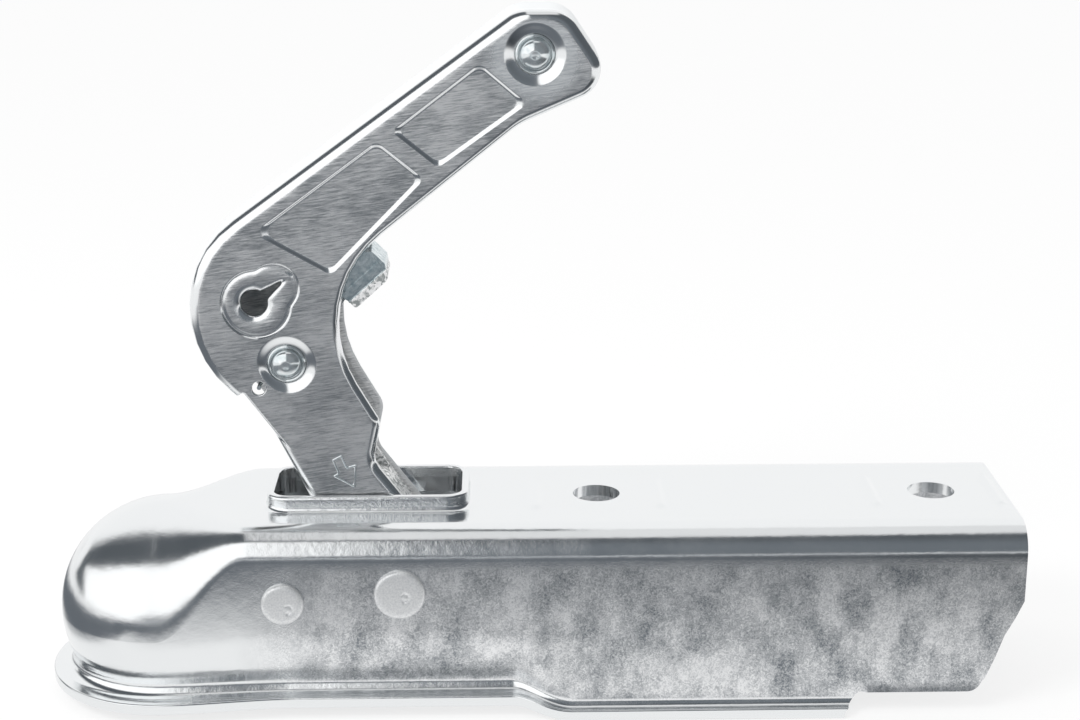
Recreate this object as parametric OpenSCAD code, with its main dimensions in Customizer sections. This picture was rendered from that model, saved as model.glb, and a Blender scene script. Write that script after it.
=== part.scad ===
// Trailer coupling head for a ball: pressed channel housing, lever handle,
// sprung jaw behind the ball and a squeeze catch in the handle.
// Origin at the ball centre, X to the drawbar, Z up, millimetres.
// The handle is drawn raised, which is the open position.

/* [Ball and drawbar] */
// Diameter of the coupling ball
ball_d = 50; // [49:0.1:51]
// Radial play of the ball in the dome
ball_play = 0.7; // [0.4:0.1:1.0]
// Width of the square drawbar that enters the channel
drawbar_w = 50; // [48:0.5:52]
// Play of the drawbar on each side
drawbar_play = 0.5; // [0.3:0.1:1.0]

/* [Housing] */
// Thickness of the housing sheet
sheet = 3; // [2.5:0.1:3.2]
// Height of the inner roof above the ball centre
roof_z = 26.8; // [26:0.1:28]
// Distance from the ball centre to the rear end
housing_len = 224.5; // [220:0.5:240]
// Outer radius of the long roof edges
edge_r = 8; // [6:0.5:9]
// Length over which the dome blends into the channel
blend_len = 24; // [20:1:30]
// Top of the foot flange round the nose, below the ball centre
nose_foot_drop = 15.6; // [15:0.1:16.5]
// Top of the foot flange along the drawbar, below the ball centre
rear_foot_drop = 19; // [18:0.1:20]
// Outer fillet radius between wall and nose flange
foot_r = 3; // [2:0.1:3.5]
// Outer fillet radius between wall and rear flange
rear_foot_r = 2; // [1.5:0.1:2.5]
// Flat width of the flange at the nose
nose_lip = 2.7; // [2:0.1:3.5]
// Flat width of the flange at the waist
waist_lip = 1.2; // [0.8:0.1:2]
// Flat width of the flange along the drawbar
rear_lip = 0.5; // [0.3:0.1:1.5]
// Height at which the waist starts to turn in
waist_rise = 3; // [1:0.5:4]
// Start of the step between waist and drawbar
step_start = 92; // [88:1:96]
// End of the step between waist and drawbar
step_end = 108; // [104:1:110]
// Length of the tail behind the flange
tail_len = 45.5; // [40:0.5:54]
// Bottom of the side wall behind the flange, below the ball centre
tail_drop = 15.5; // [14:0.1:16]

/* [Bolts and beads] */
// Diameter of the two fastening holes
bolt_d = 12.5; // [10.5:0.5:14.5]
// Distance between the two fastening holes
bolt_gap = 90; // [86:1:94]
// Distance of the rear hole from the rear end
bolt_end = 19.5; // [18:0.5:21]
// Distance of each stiffening bead from its hole
bead_off = 16.4; // [14:0.1:17]
// Length of a stiffening bead across the roof
bead_len = 24; // [16:1:30]
// Half width of a bead where it meets the roof
bead_w = 2; // [1.5:0.1:2.5]
// Height of a bead above the roof
bead_h = 0.8; // [0.5:0.1:1.2]

/* [Window] */
// Front edge of the handle window
window_x0 = 30; // [29:0.5:31]
// Rear edge of the handle window
window_x1 = 79; // [78.5:0.5:84]
// Inner width of the window
window_w = 21.6; // [21.2:0.1:24]
// Inner corner radius of the window
window_r = 4; // [3:0.5:6]
// Thickness of the turned-up collar
collar_t = 2; // [1.6:0.1:2.5]
// Height of the collar above the roof
collar_h = 4.2; // [3:0.1:4.6]

/* [Pivots] */
// Distance of the jaw rivet behind the ball centre
jaw_x = 33.3; // [33:0.1:34]
// Height of the jaw rivet
jaw_z = 10.9; // [10.5:0.1:11.4]
// Distance of the handle rivet behind the ball centre
pivot_x = 63.3; // [63:0.1:64]
// Height of the handle rivet
pivot_z = 13.3; // [13:0.1:13.6]
// Shank diameter of the jaw rivet
jaw_rivet_d = 8; // [7:0.5:9]
// Head diameter of the jaw rivet
jaw_head_d = 11; // [10.5:0.5:12]
// Shank diameter of the handle rivet
pivot_rivet_d = 10; // [9:0.5:11]
// Head diameter of the handle rivet
pivot_head_d = 13.2; // [12.5:0.1:15]
// Thickness of the flat rivet heads
head_t = 1.5; // [1:0.1:2]
// Wall of the tube that the jaw turns on
jaw_tube_wall = 2; // [1.5:0.1:2.2]
// Wall of the tube that the handle turns on
pivot_tube_wall = 3; // [2.5:0.1:3.2]
// Wall of the spacers beside the jaw
jaw_spacer_wall = 2; // [1:0.1:2.5]
// Wall of the spacers beside the handle
pivot_spacer_wall = 1.3; // [1:0.1:1.4]

/* [Handle] */
// Outer width of the handle
handle_w = 20; // [19.4:0.1:20.2]
// Thickness of the handle sheet
handle_t = 2; // [1.8:0.1:2.2]
// Outer bend radius between the handle's web and its sides
bend_r = 2.2; // [1.8:0.1:2.4]
// Angle from open to closed
swing = 38; // [30:1:38]
// Outer radius of the sleeves that are riveted into the handle
sleeve_r = 5; // [4.6:0.1:5.2]
// Shank diameter of the small handle rivets
pin_d = 6; // [5:0.5:6.5]
// Head diameter of the small handle rivets
pin_head_d = 7; // [6.8:0.1:8]
// Height of the domed heads of the small rivets
pin_head_h = 2; // [1.5:0.1:2.5]
// Radius of the dimple round each sleeve
dimple_r = 7.3; // [6.5:0.1:7.5]
// Depth of the dimples
dimple_h = 1; // [0.6:0.1:1.1]
// Width of the dimple's raised wall on the inside
dimple_wall = 0.8; // [0.5:0.1:1.2]
// Depth of the pressed panels
panel_h = 0.5; // [0.3:0.1:0.7]
// Radius of the round end of the keyhole
key_r = 3.4; // [2.5:0.1:3.8]
// Width of the keyhole's slot
key_slot = 2.2; // [1.5:0.1:3]
// Diameter of the spring hole in the near side
leg_hole_d = 4.2; // [3.5:0.1:4.5]

/* [Catch] */
// Play of the catch between the handle's sides, on each side
catch_play = 1.4; // [1.4:0.1:1.8]
// Thickness of the catch sheet
catch_t = 2; // [1.6:0.1:2.2]
// Play of the catch spring's coil inside the catch, on each side
coil_play = 1.2; // [0.8:0.1:1.6]
// Wall of the fixed latch cam round the pivot tube
cam_wall = 4.5; // [3.5:0.1:4.5]
// Width of the fixed latch cam
cam_w = 6; // [4:0.5:8]
// Depth of the notch in the cam
notch_h = 2.2; // [1.5:0.1:2.4]
// Gap between the catch nose and the cam
nose_gap = 0.3; // [0.2:0.1:0.5]

/* [Jaw and strut] */
// Half width of the jaw
jaw_half = 16; // [14:0.5:17]
// Thickness of the jaw behind the ball
jaw_t = 5.5; // [4.5:0.1:5.8]
// Angle that the jaw turns from open to closed
jaw_swing = 25; // [20:1:25]
// How far below the ball's middle the closed jaw reaches
jaw_reach = 35; // [28:1:35]
// Gap between the closed jaw and the ball
jaw_gap = 0.2; // [0.1:0.1:0.4]
// Diameter of the pin between jaw and strut
jaw_pin_d = 6; // [5:0.5:6]
// Diameter of the strut's guide rod
rod_d = 5; // [4.5:0.1:5.2]
// Diameter of the cross bore in the spring trunnion
rod_bore_d = 6.6; // [6.4:0.1:7]
// Diameter of the spring trunnion
trunnion_d = 14; // [13:0.5:14.5]
// Diameter of the trunnion's journals
journal_d = 6; // [5:0.5:7]
// Wire diameter of the strut spring
spring_wire = 2; // [1.6:0.1:2.2]
// Turns of the strut spring
spring_turns = 5; // [4:1:6]
// Wire diameter of the catch spring
leg_wire = 1.2; // [1:0.1:1.4]
// Turns of the catch spring
catch_turns = 3; // [2:1:4]

/* [Hidden] */
$fn = 72;

// Clearances shared by the pieces that fit each other.
fit = 0.05;          // radial clearance of turning and riveted fits
side_gap = 0.3;      // gap between pieces that lie side by side

// Places and sizes that follow from the driving sizes.
ball_r = ball_d / 2;
dome_r = ball_r + ball_play + sheet;
half_w = drawbar_w / 2 + drawbar_play + sheet;
inner_half = half_w - sheet;
top_z = roof_z + sheet;
foot_end = housing_len - tail_len;
bolt_x = housing_len - bolt_end - bolt_gap;
jaw_tube_d = jaw_rivet_d + 2 * jaw_tube_wall;
pivot_tube_d = pivot_rivet_d + 2 * pivot_tube_wall;
jaw_spacer_d = jaw_tube_d + 2 * jaw_spacer_wall;
pivot_spacer_d = pivot_tube_d + 2 * pivot_spacer_wall;
cam_r = pivot_tube_d / 2 + cam_wall;
jaw_at = [jaw_x, jaw_z];
pivot_at = [pivot_x, pivot_z];
nose_foot_z = -nose_foot_drop;
rear_foot_z = -rear_foot_drop;
crown_flat = 0.5;                 // half width of the flat on the dome's crown
foot_lean = 2;                    // height over which the rear wall leans in
handle_half = handle_w / 2;
catch_half = handle_half - handle_t - catch_play;
grip_at = [98.5, 148.4];          // grip rivet
catch_at = [34.6, 69.2];          // rivet that the catch turns on
leg_at = [27.3, 62.9];            // hole for the catch spring's leg
spring_bend = [46, 80];             // where the spring's other leg bends
spring_end = [50.7, 85.6];        // and its end, clear of the squeezed catch's web
coil_half_len = catch_half - catch_t - coil_play;
key_at = [26.8, 85.4];            // round end of the keyhole
key_end = [33.4, 90.5];           // end of the keyhole's slot
strut_handle = [70, -2];          // trunnion axis on the handle
strut_jaw_closed = [32, -5];      // jaw pin axis with the jaw closed
strut_jaw = turned(strut_jaw_closed, jaw_at, -jaw_swing);
strut_vec = strut_handle - strut_jaw;
strut_len = norm(strut_vec);
strut_tilt = atan2(strut_vec[1], strut_vec[0]);
eye_r = 5.5;                      // radius of the rod's eye
seat_s = eye_r + 1.5;             // where the spring's washer sits on the rod
washer_t = 1.2;
flat_s = 5.5;                     // distance of the trunnion's flats
clip_t = 1.4;
clip_s = strut_len + flat_s + side_gap;
rod_end_s = clip_s + clip_t + 2;
spring_r = rod_d / 2 + 0.6 + spring_wire / 2;
ear_half = 9;                     // half width over the jaw's ears
eye_half = 3.5;                   // half width of the rod's eye
hub_r = 9;                        // radius of the jaw's hub
hub_half = 14;                    // half width of the jaw's hub
jaw_rib = [[24, -1], [24, -4], [37, -6]];   // lower end of the rib from the hub to the ears
nose_w = 5;
cam_foot_r = norm(strut_handle - pivot_at) - trunnion_d / 2 - side_gap;

// Corners of the handle's side, anticlockwise: x, z and corner radius.
handle_corners = [
  [79, -28.3, 9],        // round the trunnion
  [77.9, 13.6, 8],       // rear of the pivot
  [56.2, 42.5, 6],       // hollow over the window
  [58.4, 53, 5],         // bump under the catch
  [39.2, 86.5, 22],      // inner bend
  [94.5, 130.8, 20],     // start of the grip end
  [118.6, 141.2, 4.5],   // lower tip
  [106.5, 160.2, 7],     // upper tip
  [93.3, 160.2, 8],      // top of the grip end
  [78.6, 143.9, 25],     // neck of the grip
  [-5.8, 84.7, 28.4],    // large outer bend
  [21.6, 60.2, 0.4],     // end of the web
  [24.1, 61.9, 0.4],     // step behind the web
  [31, 51.2, 12],        // start of the leg
  [52.3, 6.45, 13]       // round the pivot
];
// Sides that the web closes are 1, open sheet edges are 0.
web_sides = [0, 0, 0, 0, 0, 0, 1, 1, 1, 1, 1, 0, 0, 0, 0];
// For the hollow, the open sides run out past the sheet.
hollow_sides = [for (s = web_sides) s == 1 ? 1 : -2];
corner_steps = 5;

// Corners of the two pressed panels on the handle.
upper_panel = [[63.3, 129.3, 2], [74.2, 121, 3], [95.2, 135.6, 2.5], [84.2, 145, 3]];
lower_panel = [[28.5, 103.4, 3], [46.3, 94, 3], [69.1, 117.4, 2.5], [58.4, 126.4, 3]];
// Lobes of the pressed dish round the keyhole: x, z and radius.
dish_lobes = [[27.5, 85.3, 9.2], [32.2, 89.6, 6.6]];

// Outline of the catch, anticlockwise.
nose_z = pivot_z + cam_r + nose_gap;
catch_corners = [
  [pivot_x - 1.1, nose_z - 0.5, 1],   // nose that rides on the cam
  [pivot_x + 2.7, nose_z + 1.4, 1],
  [60.6, 35, 3],
  [43, 62.5, 6],
  [45.5, 77.5, 6],
  [52.4, 82.8, 1.5],
  [62, 92.2, 1.8],
  [57.2, 98, 1.5],
  [48, 97.6, 4],
  [27.4, 73.6, 7],
  [28.6, 64, 7]
];

// Space inside the catch's fold, open towards the handle's web.
catch_pocket = [
  [30, 38], [54, 38], [70, 33], [70, 60], [49, 80.2],
  [59.3, 91.6], [55.6, 95.9], [48, 120], [10, 100], [10, 50]
];
// How far the slanting tail of the side wall stands in from the rear end, at each height.
tail_line = [[0, 9.6], [2, 5], [4.6, 0], [6.8, -6.6], [9, -12]];
tail_round = 4;                   // radius at the foot of the tail
tail_back = 13.5;                 // how far that radius stands in from the rear end
foot_slant = 3.5;                 // how far the flange's end leans back

// Numbers between 0 and 1 that ease from a to b.
function ease(a, b, x) =
  let (t = min(1, max(0, (x - a) / (b - a))))
  t * t * (3 - 2 * t);
function mix(a, b, t) = a + (b - a) * t;
function unit(v) = v / norm(v);
function heading(v) = atan2(v[1], v[0]);
function reversed(list) = [for (i = [len(list) - 1:-1:0]) list[i]];

// A point in the XZ plane turned about a centre, as about the +Y axis.
function turned(p, c, a) =
  let (d = [p[0] - c[0], p[1] - c[1]])
  [c[0] + d[0] * cos(a) + d[1] * sin(a), c[1] - d[0] * sin(a) + d[1] * cos(a)];

function arc_points(cx, cz, r, a0, a1, n) =
  [for (i = [0:n]) let (a = a0 + (a1 - a0) * i / n) [cx + r * cos(a), cz + r * sin(a)]];

// Where the line from p along u meets the line from q along v.
function line_cross(p, u, q, v) =
  let (k = u[0] * v[1] - u[1] * v[0])
  p + u * (((q[0] - p[0]) * v[1] - (q[1] - p[1]) * v[0]) / k);

// The corners with each side moved inward by its share of d.
function inset_corners(c, sides, d) =
  let (n = len(c))
  [for (i = [0:n - 1])
    let (
      a = [c[(i + n - 1) % n][0], c[(i + n - 1) % n][1]],
      b = [c[i][0], c[i][1]],
      e = [c[(i + 1) % n][0], c[(i + 1) % n][1]],
      u = unit(b - a),
      v = unit(e - b),
      s0 = sides[(i + n - 1) % n],
      s1 = sides[i],
      m = line_cross(a + [-u[1], u[0]] * s0 * d, u, b + [-v[1], v[0]] * s1 * d, v),
      side = sign(u[0] * v[1] - u[1] * v[0])
    )
    [m[0], m[1], max(0.3, c[i][2] - side * d * (s0 + s1) / 2)]];

// The outline with an arc of n steps at each corner.
function rounded(c, n) =
  let (m = len(c))
  [for (i = [0:m - 1])
    let (
      a = [c[(i + m - 1) % m][0], c[(i + m - 1) % m][1]],
      b = [c[i][0], c[i][1]],
      e = [c[(i + 1) % m][0], c[(i + 1) % m][1]],
      u = unit(a - b),
      v = unit(e - b),
      half = acos(u * v) / 2,
      o = b + unit(u + v) * (c[i][2] / sin(half)),
      p = b + u * (c[i][2] / tan(half)) - o,
      a0 = atan2(p[1], p[0]),
      sweep = sign(u[1] * v[0] - u[0] * v[1]) * (180 - 2 * half)
    )
    for (k = [0:n]) o + c[i][2] * [cos(a0 + sweep * k / n), sin(a0 + sweep * k / n)]];

// Triangles of an anticlockwise outline, cut off one ear at a time.
function cross_at(a, b, c) = (b[0] - a[0]) * (c[1] - a[1]) - (b[1] - a[1]) * (c[0] - a[0]);
function covers(a, b, c, p) = cross_at(a, b, p) >= 0 && cross_at(b, c, p) >= 0 && cross_at(c, a, p) >= 0;
function is_ear(pts, ids, i) =
  let (
    n = len(ids),
    a = pts[ids[(i + n - 1) % n]],
    b = pts[ids[i]],
    c = pts[ids[(i + 1) % n]]
  )
  cross_at(a, b, c) > 0 && len([for (k = [2:n - 2]) if (covers(a, b, c, pts[ids[(i + k) % n]])) k]) == 0;
function first_ear(pts, ids, i = 0) =
  i >= len(ids) ? 0 : is_ear(pts, ids, i) ? i : first_ear(pts, ids, i + 1);
function clipped(pts, ids) =
  len(ids) < 4 ? [ids] :
  let (
    n = len(ids),
    i = first_ear(pts, ids),
    rest = [for (k = [0:n - 1]) if (k != i) ids[k]]
  )
  concat([[ids[(i + n - 1) % n], ids[i], ids[(i + 1) % n]]], clipped(pts, rest));

// Housing: one sheet profile from crown to foot, depth d inside the outer face.
roof_steps = 9;
turn_steps = 5;
foot_steps = 5;
function sheet_path(x, d) =
  let (
    b = ease(0, blend_len, x),
    s = ease(step_start, step_end, x),
    zt = mix(dome_r, top_z, b),
    r1 = mix(dome_r - crown_flat, edge_r, b),
    w = mix(dome_r, half_w, b),
    rf = mix(foot_r, rear_foot_r, s),
    zf = mix(nose_foot_z, rear_foot_z, s),
    z1 = mix(waist_rise * ease(0, blend_len * 1.5, x), rear_foot_z + rear_foot_r + foot_lean, s),
    turn = asin((z1 - zf - rf) / (dome_r + rf)),
    fx = w - dome_r + (dome_r + rf) * cos(turn),
    lip = mix(mix(nose_lip, waist_lip, ease(0, blend_len * 1.5, x)), rear_lip, s)
  )
  concat(
    [[0, zt - d]],
    arc_points(w - r1, zt - r1, r1 - d, 90, 0, roof_steps),
    arc_points(w - dome_r, z1, dome_r - d, 0, -turn, turn_steps),
    arc_points(fx, zf + rf, rf + d, 180 - turn, 270, foot_steps),
    [[fx + lip, zf - d]]
  );
function sheet_section(x) = concat(sheet_path(x, 0), reversed(sheet_path(x, sheet)));

// Stations run up one side from the rear, round the nose and back down the other side.
side_x = concat(
  [housing_len],
  [for (i = [0:6]) mix(step_end, step_start, i / 6)],
  [for (i = [1:3]) mix(step_start, blend_len * 1.5, i / 3)],
  [for (i = [1:10]) blend_len * 1.5 * (1 - i / 10)]
);
nose_step = 10;
stations = concat(
  [for (x = side_x) [x, 90]],
  [for (a = [90 + nose_step:nose_step:270 - nose_step]) [0, a]],
  [for (x = reversed(side_x)) [x, 270]]
);
function station_point(st, p) = [st[0] + p[0] * cos(st[1]), p[0] * sin(st[1]), p[1]];

// The crown line is shared by both sides, so its points keep one index.
function crown_row(j) =
  let (m = len(side_x), n = len(stations))
  j < m ? j : (j < n - m ? m - 1 : n - 1 - j);
function skin_index(j, i, count) =
  (i == 0 || i == count - 1) ? crown_row(j) * count + i : j * count + i;
function real_faces(faces) = [for (f = faces) if (f[0] != f[1] && f[1] != f[2] && f[0] != f[2]) f];

module pressed_sheet() {
  sections = [for (st = stations) [for (p = sheet_section(st[0])) station_point(st, p)]];
  count = len(sections[0]);
  rows = len(stations);
  faces = [for (j = [0:rows - 2]) for (i = [0:count - 2])
    let (
      a = skin_index(j, i, count),
      b = skin_index(j, i + 1, count),
      c = skin_index(j + 1, i + 1, count),
      d = skin_index(j + 1, i, count)
    )
    each [[a, c, b], [a, d, c]]];
  polyhedron(
    points = [for (s = sections) each s],
    faces = concat(real_faces(faces), end_strip(0, count), flipped(end_strip(rows - 1, count))),
    convexity = 10
  );
}
// The cut end of the sheet, as a strip between its outer and its inner edge.
function end_strip(j, count) = [for (i = [0:count / 2 - 2])
  let (
    a = skin_index(j, i, count),
    b = skin_index(j, i + 1, count),
    c = skin_index(j, count - 2 - i, count),
    d = skin_index(j, count - 1 - i, count)
  )
  each [[a, b, c], [a, c, d]]];
function flipped(faces) = [for (f = faces) reversed(f)];

// Helpers for pieces that lie along Y.
// A cylinder along Y from y0 to y1 about a point in the XZ plane.
module rod_y(p, r, y0, y1) {
  translate([p[0], y1, p[1]]) rotate([90, 0, 0]) cylinder(r = r, h = y1 - y0);
}
// A plate with an outline in the XZ plane, from y0 to y1.
module plate_y(points, y0, y1) {
  translate([0, y1, 0]) rotate([90, 0, 0]) linear_extrude(y1 - y0) polygon(points);
}
module ring_y(p, r, bore, y0, y1) {
  difference() {
    rod_y(p, r, y0, y1);
    rod_y(p, bore, y0 - 1, y1 + 1);
  }
}

// The window's outline with round corners, grown by g.
module window_shape(g) {
  r = window_r + g;
  x0 = window_x0 - g;
  x1 = window_x1 + g;
  h = window_w / 2 + g;
  translate([x0 + r, -h]) square([x1 - x0 - 2 * r, 2 * h]);
  translate([x0, -h + r]) square([x1 - x0, 2 * (h - r)]);
  for (x = [x0 + r, x1 - r], y = [-h + r, h - r])
    translate([x, y]) circle(r);
}

// One raised bead across the roof, sunk by d for the groove under it.
module bead(x, d) {
  r = (bead_w * bead_w + bead_h * bead_h) / (2 * bead_h);
  half = bead_len / 2 - bead_w;
  translate([x, 0, top_z + bead_h - r - d]) {
    rotate([90, 0, 0]) cylinder(r = r, h = 2 * half, center = true);
    for (s = [-1, 1]) translate([0, s * half, 0]) sphere(r);
  }
}
module beads(d) {
  for (x = [bolt_x, bolt_x + bolt_gap], s = [-1, 1])
    bead(x + s * bead_off, d);
}
// What is trimmed off the side walls at the rear, as an outline in XZ.
module rear_trim() {
  z0 = rear_foot_z - sheet - 1;
  end = housing_len;
  foot_of_tail = [end - tail_back, tail_round - tail_drop];
  notch = concat(
    [[foot_end + foot_slant, -tail_drop], [foot_end, z0], [end + 5, z0], [end + 5, tail_line[0][1]]],
    [for (t = tail_line) [end - t[0], t[1]]],
    arc_points(foot_of_tail[0], foot_of_tail[1], tail_round, -20, -90, 4)
  );
  plate_y(notch, -half_w - 20, half_w + 20);
}

module housing() {
  color("silver") difference() {
    union() {
      pressed_sheet();
      beads(0);
      translate([0, 0, top_z - sheet]) linear_extrude(sheet + collar_h) window_shape(collar_t);
    }
    translate([0, 0, roof_z - 10]) linear_extrude(collar_h + 30) window_shape(0);
    beads(sheet);
    for (x = [bolt_x, bolt_x + bolt_gap])
      translate([x, 0, roof_z - 5]) cylinder(d = bolt_d, h = sheet + 10);
    rod_y(jaw_at, jaw_rivet_d / 2 + fit, -half_w - 5, half_w + 5);
    rod_y(pivot_at, pivot_rivet_d / 2 + fit, -half_w - 5, half_w + 5);
    rear_trim();
  }
}

// A rivet through both side walls with a flat head on each side.
module cross_rivet(p, d, head_d) {
  color("gainsboro") {
    rod_y(p, d / 2, -half_w, half_w);
    for (s = [-1, 1]) {
      y = s * (half_w + head_t / 2);
      rod_y(p, head_d / 2, y - head_t / 2, y + head_t / 2);
    }
  }
}
module front_cross_rivet() {
  cross_rivet(jaw_at, jaw_rivet_d, jaw_head_d);
}
module rear_cross_rivet() {
  cross_rivet(pivot_at, pivot_rivet_d, pivot_head_d);
}

// Tubes from wall to wall that the jaw and the handle turn on.
module jaw_pivot_tube() {
  color("lightgray") ring_y(jaw_at, jaw_tube_d / 2, jaw_rivet_d / 2 + fit, -inner_half, inner_half);
}
module handle_pivot_tube() {
  color("lightgray") ring_y(pivot_at, pivot_tube_d / 2, pivot_rivet_d / 2 + fit, -inner_half, inner_half);
}

// Spacers that keep the jaw and the handle in the middle; s is -1 or 1.
module spacer(p, d, tube_d, gap_from, s) {
  y0 = gap_from + side_gap;
  y1 = inner_half - side_gap / 2;
  color("darkgray") ring_y(p, d / 2, tube_d / 2 + fit, s > 0 ? y0 : -y1, s > 0 ? y1 : -y0);
}
module left_jaw_spacer() {
  spacer(jaw_at, jaw_spacer_d, jaw_tube_d, hub_half, -1);
}
module right_jaw_spacer() {
  spacer(jaw_at, jaw_spacer_d, jaw_tube_d, hub_half, 1);
}
module left_handle_spacer() {
  spacer(pivot_at, pivot_spacer_d, pivot_tube_d, handle_half, -1);
}
module right_handle_spacer() {
  spacer(pivot_at, pivot_spacer_d, pivot_tube_d, handle_half, 1);
}

// Fixed cam between the handle's sides, with the notch for the closed catch.
module latch_cam() {
  notch_at = turned(pivot_at + [0, cam_r], pivot_at, swing);
  color("dimgray") difference() {
    union() {
      difference() {
        rod_y(pivot_at, cam_r, -cam_w / 2, cam_w / 2);
        translate([pivot_x - 2 * cam_r, -cam_w, pivot_z - 4 * cam_r])
          cube([4 * cam_r, 2 * cam_w, 4 * cam_r]);
      }
      rod_y(pivot_at, cam_foot_r, -cam_w / 2, cam_w / 2);
    }
    rod_y(pivot_at, pivot_tube_d / 2 + fit, -cam_w, cam_w);
    translate([notch_at[0], 0, notch_at[1]]) rotate([0, swing, 0])
      translate([-nose_w / 2 - 0.5, -cam_w, -notch_h]) cube([nose_w + 1, 2 * cam_w, 2 * notch_h]);
  }
}

// Inset and depth along a quarter bend, from the flat side outwards.
bend_steps = 4;
bend_line = [for (k = [0:bend_steps]) let (a = 90 * k / bend_steps)
  [bend_r * (1 - sin(a)), bend_r * (1 - cos(a))]];

// The handle's outer skin: its side outline stacked across the width, with round bends.
module handle_skin() {
  levels = concat(
    [for (b = bend_line) [b[0], b[1] - handle_half]],
    [for (b = reversed(bend_line)) [b[0], handle_half - b[1]]]
  );
  rings = [for (l = levels)
    [for (p = rounded(inset_corners(handle_corners, web_sides, l[0]), corner_steps)) [p[0], l[1], p[1]]]];
  count = len(rings[0]);
  rows = len(levels);
  side = clipped([for (p = rings[0]) [p[0], p[2]]], [for (i = [0:count - 1]) i]);
  faces = [for (j = [0:rows - 2]) for (i = [0:count - 1])
    let (a = j * count + i, b = j * count + (i + 1) % count)
    each [[a, b, b + count], [a, b + count, a + count]]];
  polyhedron(
    points = [for (r = rings) each r],
    faces = concat(faces, flipped(side), [for (f = side) f + [1, 1, 1] * (rows - 1) * count]),
    convexity = 10
  );
}
// Runs its children once for each side, turned so that they stand on the near outer face.
module both_sides() {
  for (s = [1, -1]) scale([1, s, 1]) translate([0, -handle_half, 0]) children();
}
module handle_shell() {
  inner = handle_half - handle_t;
  color("silver") difference() {
    union() {
      difference() {
        handle_skin();
        plate_y(
          rounded(inset_corners(handle_corners, hollow_sides, handle_t), corner_steps),
          -inner, inner
        );
      }
      for (p = [grip_at, catch_at])
        both_sides() rod_y(p, dimple_r, handle_t - 0.5, handle_t + dimple_h);
    }
    for (p = [grip_at, catch_at]) {
      rod_y(p, sleeve_r + fit, -handle_w, handle_w);
      both_sides() rod_y(p, dimple_r - dimple_wall, -1, dimple_h);
    }
    for (c = [upper_panel, lower_panel])
      both_sides() plate_y(rounded(c, 3), -1, panel_h);
    // Only the near side has the keyhole with its dish, and the spring's hole.
    key_slot_cut(key_r, key_slot / 2, -handle_w, 0);
    for (c = dish_lobes)
      rod_y(c, c[2], -handle_w, panel_h - handle_half);
    rod_y(leg_at, leg_hole_d / 2, -handle_w, 0);
    rod_y(pivot_at, pivot_tube_d / 2 + fit, -handle_w, handle_w);
    rod_y(strut_handle, journal_d / 2 + fit, -handle_w, handle_w);
  }
}
module key_slot_cut(r, half, y0, y1) {
  rod_y(key_at, r, y0, y1);
  rod_y(key_end, half, y0, y1);
  u = unit(key_end - key_at) * half;
  side = [-u[1], u[0]];
  plate_y([key_at - side, key_end - side, key_end + side, key_at + side], y0, y1);
}
// Rivet with domed heads over a sleeve that is set into both sides of the handle.
sleeve_half = handle_half - dimple_h + 0.3;
module domed_rivet(p) {
  r = pin_head_d / 2;
  ball = (r * r + pin_head_h * pin_head_h) / (2 * pin_head_h);
  color("gainsboro") {
    rod_y(p, pin_d / 2, -sleeve_half, sleeve_half);
    for (s = [1, -1]) scale([1, s, 1]) intersection() {
      translate([p[0], sleeve_half + pin_head_h - ball, p[1]]) rotate([90, 0, 0]) sphere(ball);
      rod_y(p, r + 1, sleeve_half, sleeve_half + pin_head_h + 1);
    }
  }
}
module grip_rivet() {
  domed_rivet(grip_at);
}
module catch_rivet() {
  domed_rivet(catch_at);
}
module grip_sleeve() {
  color("lightsteelblue") ring_y(grip_at, sleeve_r, pin_d / 2 + fit, -sleeve_half, sleeve_half);
}
module catch_sleeve() {
  color("lightsteelblue") ring_y(catch_at, sleeve_r, pin_d / 2 + fit, -sleeve_half, sleeve_half);
}

// Catch: folded sheet with a web on the finger tab and a nose over the cam.
module catch_lever() {
  color("lightsteelblue") difference() {
    plate_y(rounded(catch_corners, corner_steps), -catch_half, catch_half);
    plate_y(catch_pocket, -catch_half + catch_t, catch_half - catch_t);
    rod_y(catch_at, sleeve_r + fit, -handle_w, handle_w);
  }
}

// Round wire swept along a path; ref is any direction off the path.
function cross_unit(a, b) = unit(cross(a, b));
function square_to(u, t) = unit(u - (u * t) * t);
module wire(path, r, ref, sides = 8) {
  n = len(path);
  along = [for (i = [0:n - 1]) unit(path[min(i + 1, n - 1)] - path[max(i - 1, 0)])];
  across = [for (i = 0, u = cross_unit(along[0], ref); i < n;
    u = i + 1 < n ? square_to(u, along[i + 1]) : u, i = i + 1) u];
  rings = [for (i = [0:n - 1]) let (u = across[i], v = cross(along[i], u))
    [for (k = [0:sides - 1]) path[i] + r * (u * cos(360 * k / sides) + v * sin(360 * k / sides))]];
  faces = [for (j = [0:n - 2]) for (k = [0:sides - 1])
    let (a = j * sides + k, b = j * sides + (k + 1) % sides)
    each [[a, b, b + sides], [a, b + sides, a + sides]]];
  start_cap = [for (k = [sides - 1:-1:0]) k];
  end_cap = [for (k = [0:sides - 1]) (n - 1) * sides + k];
  polyhedron(
    points = [for (q = rings) each q],
    faces = flipped(concat(faces, [start_cap, end_cap])),
    convexity = 10
  );
}
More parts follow.
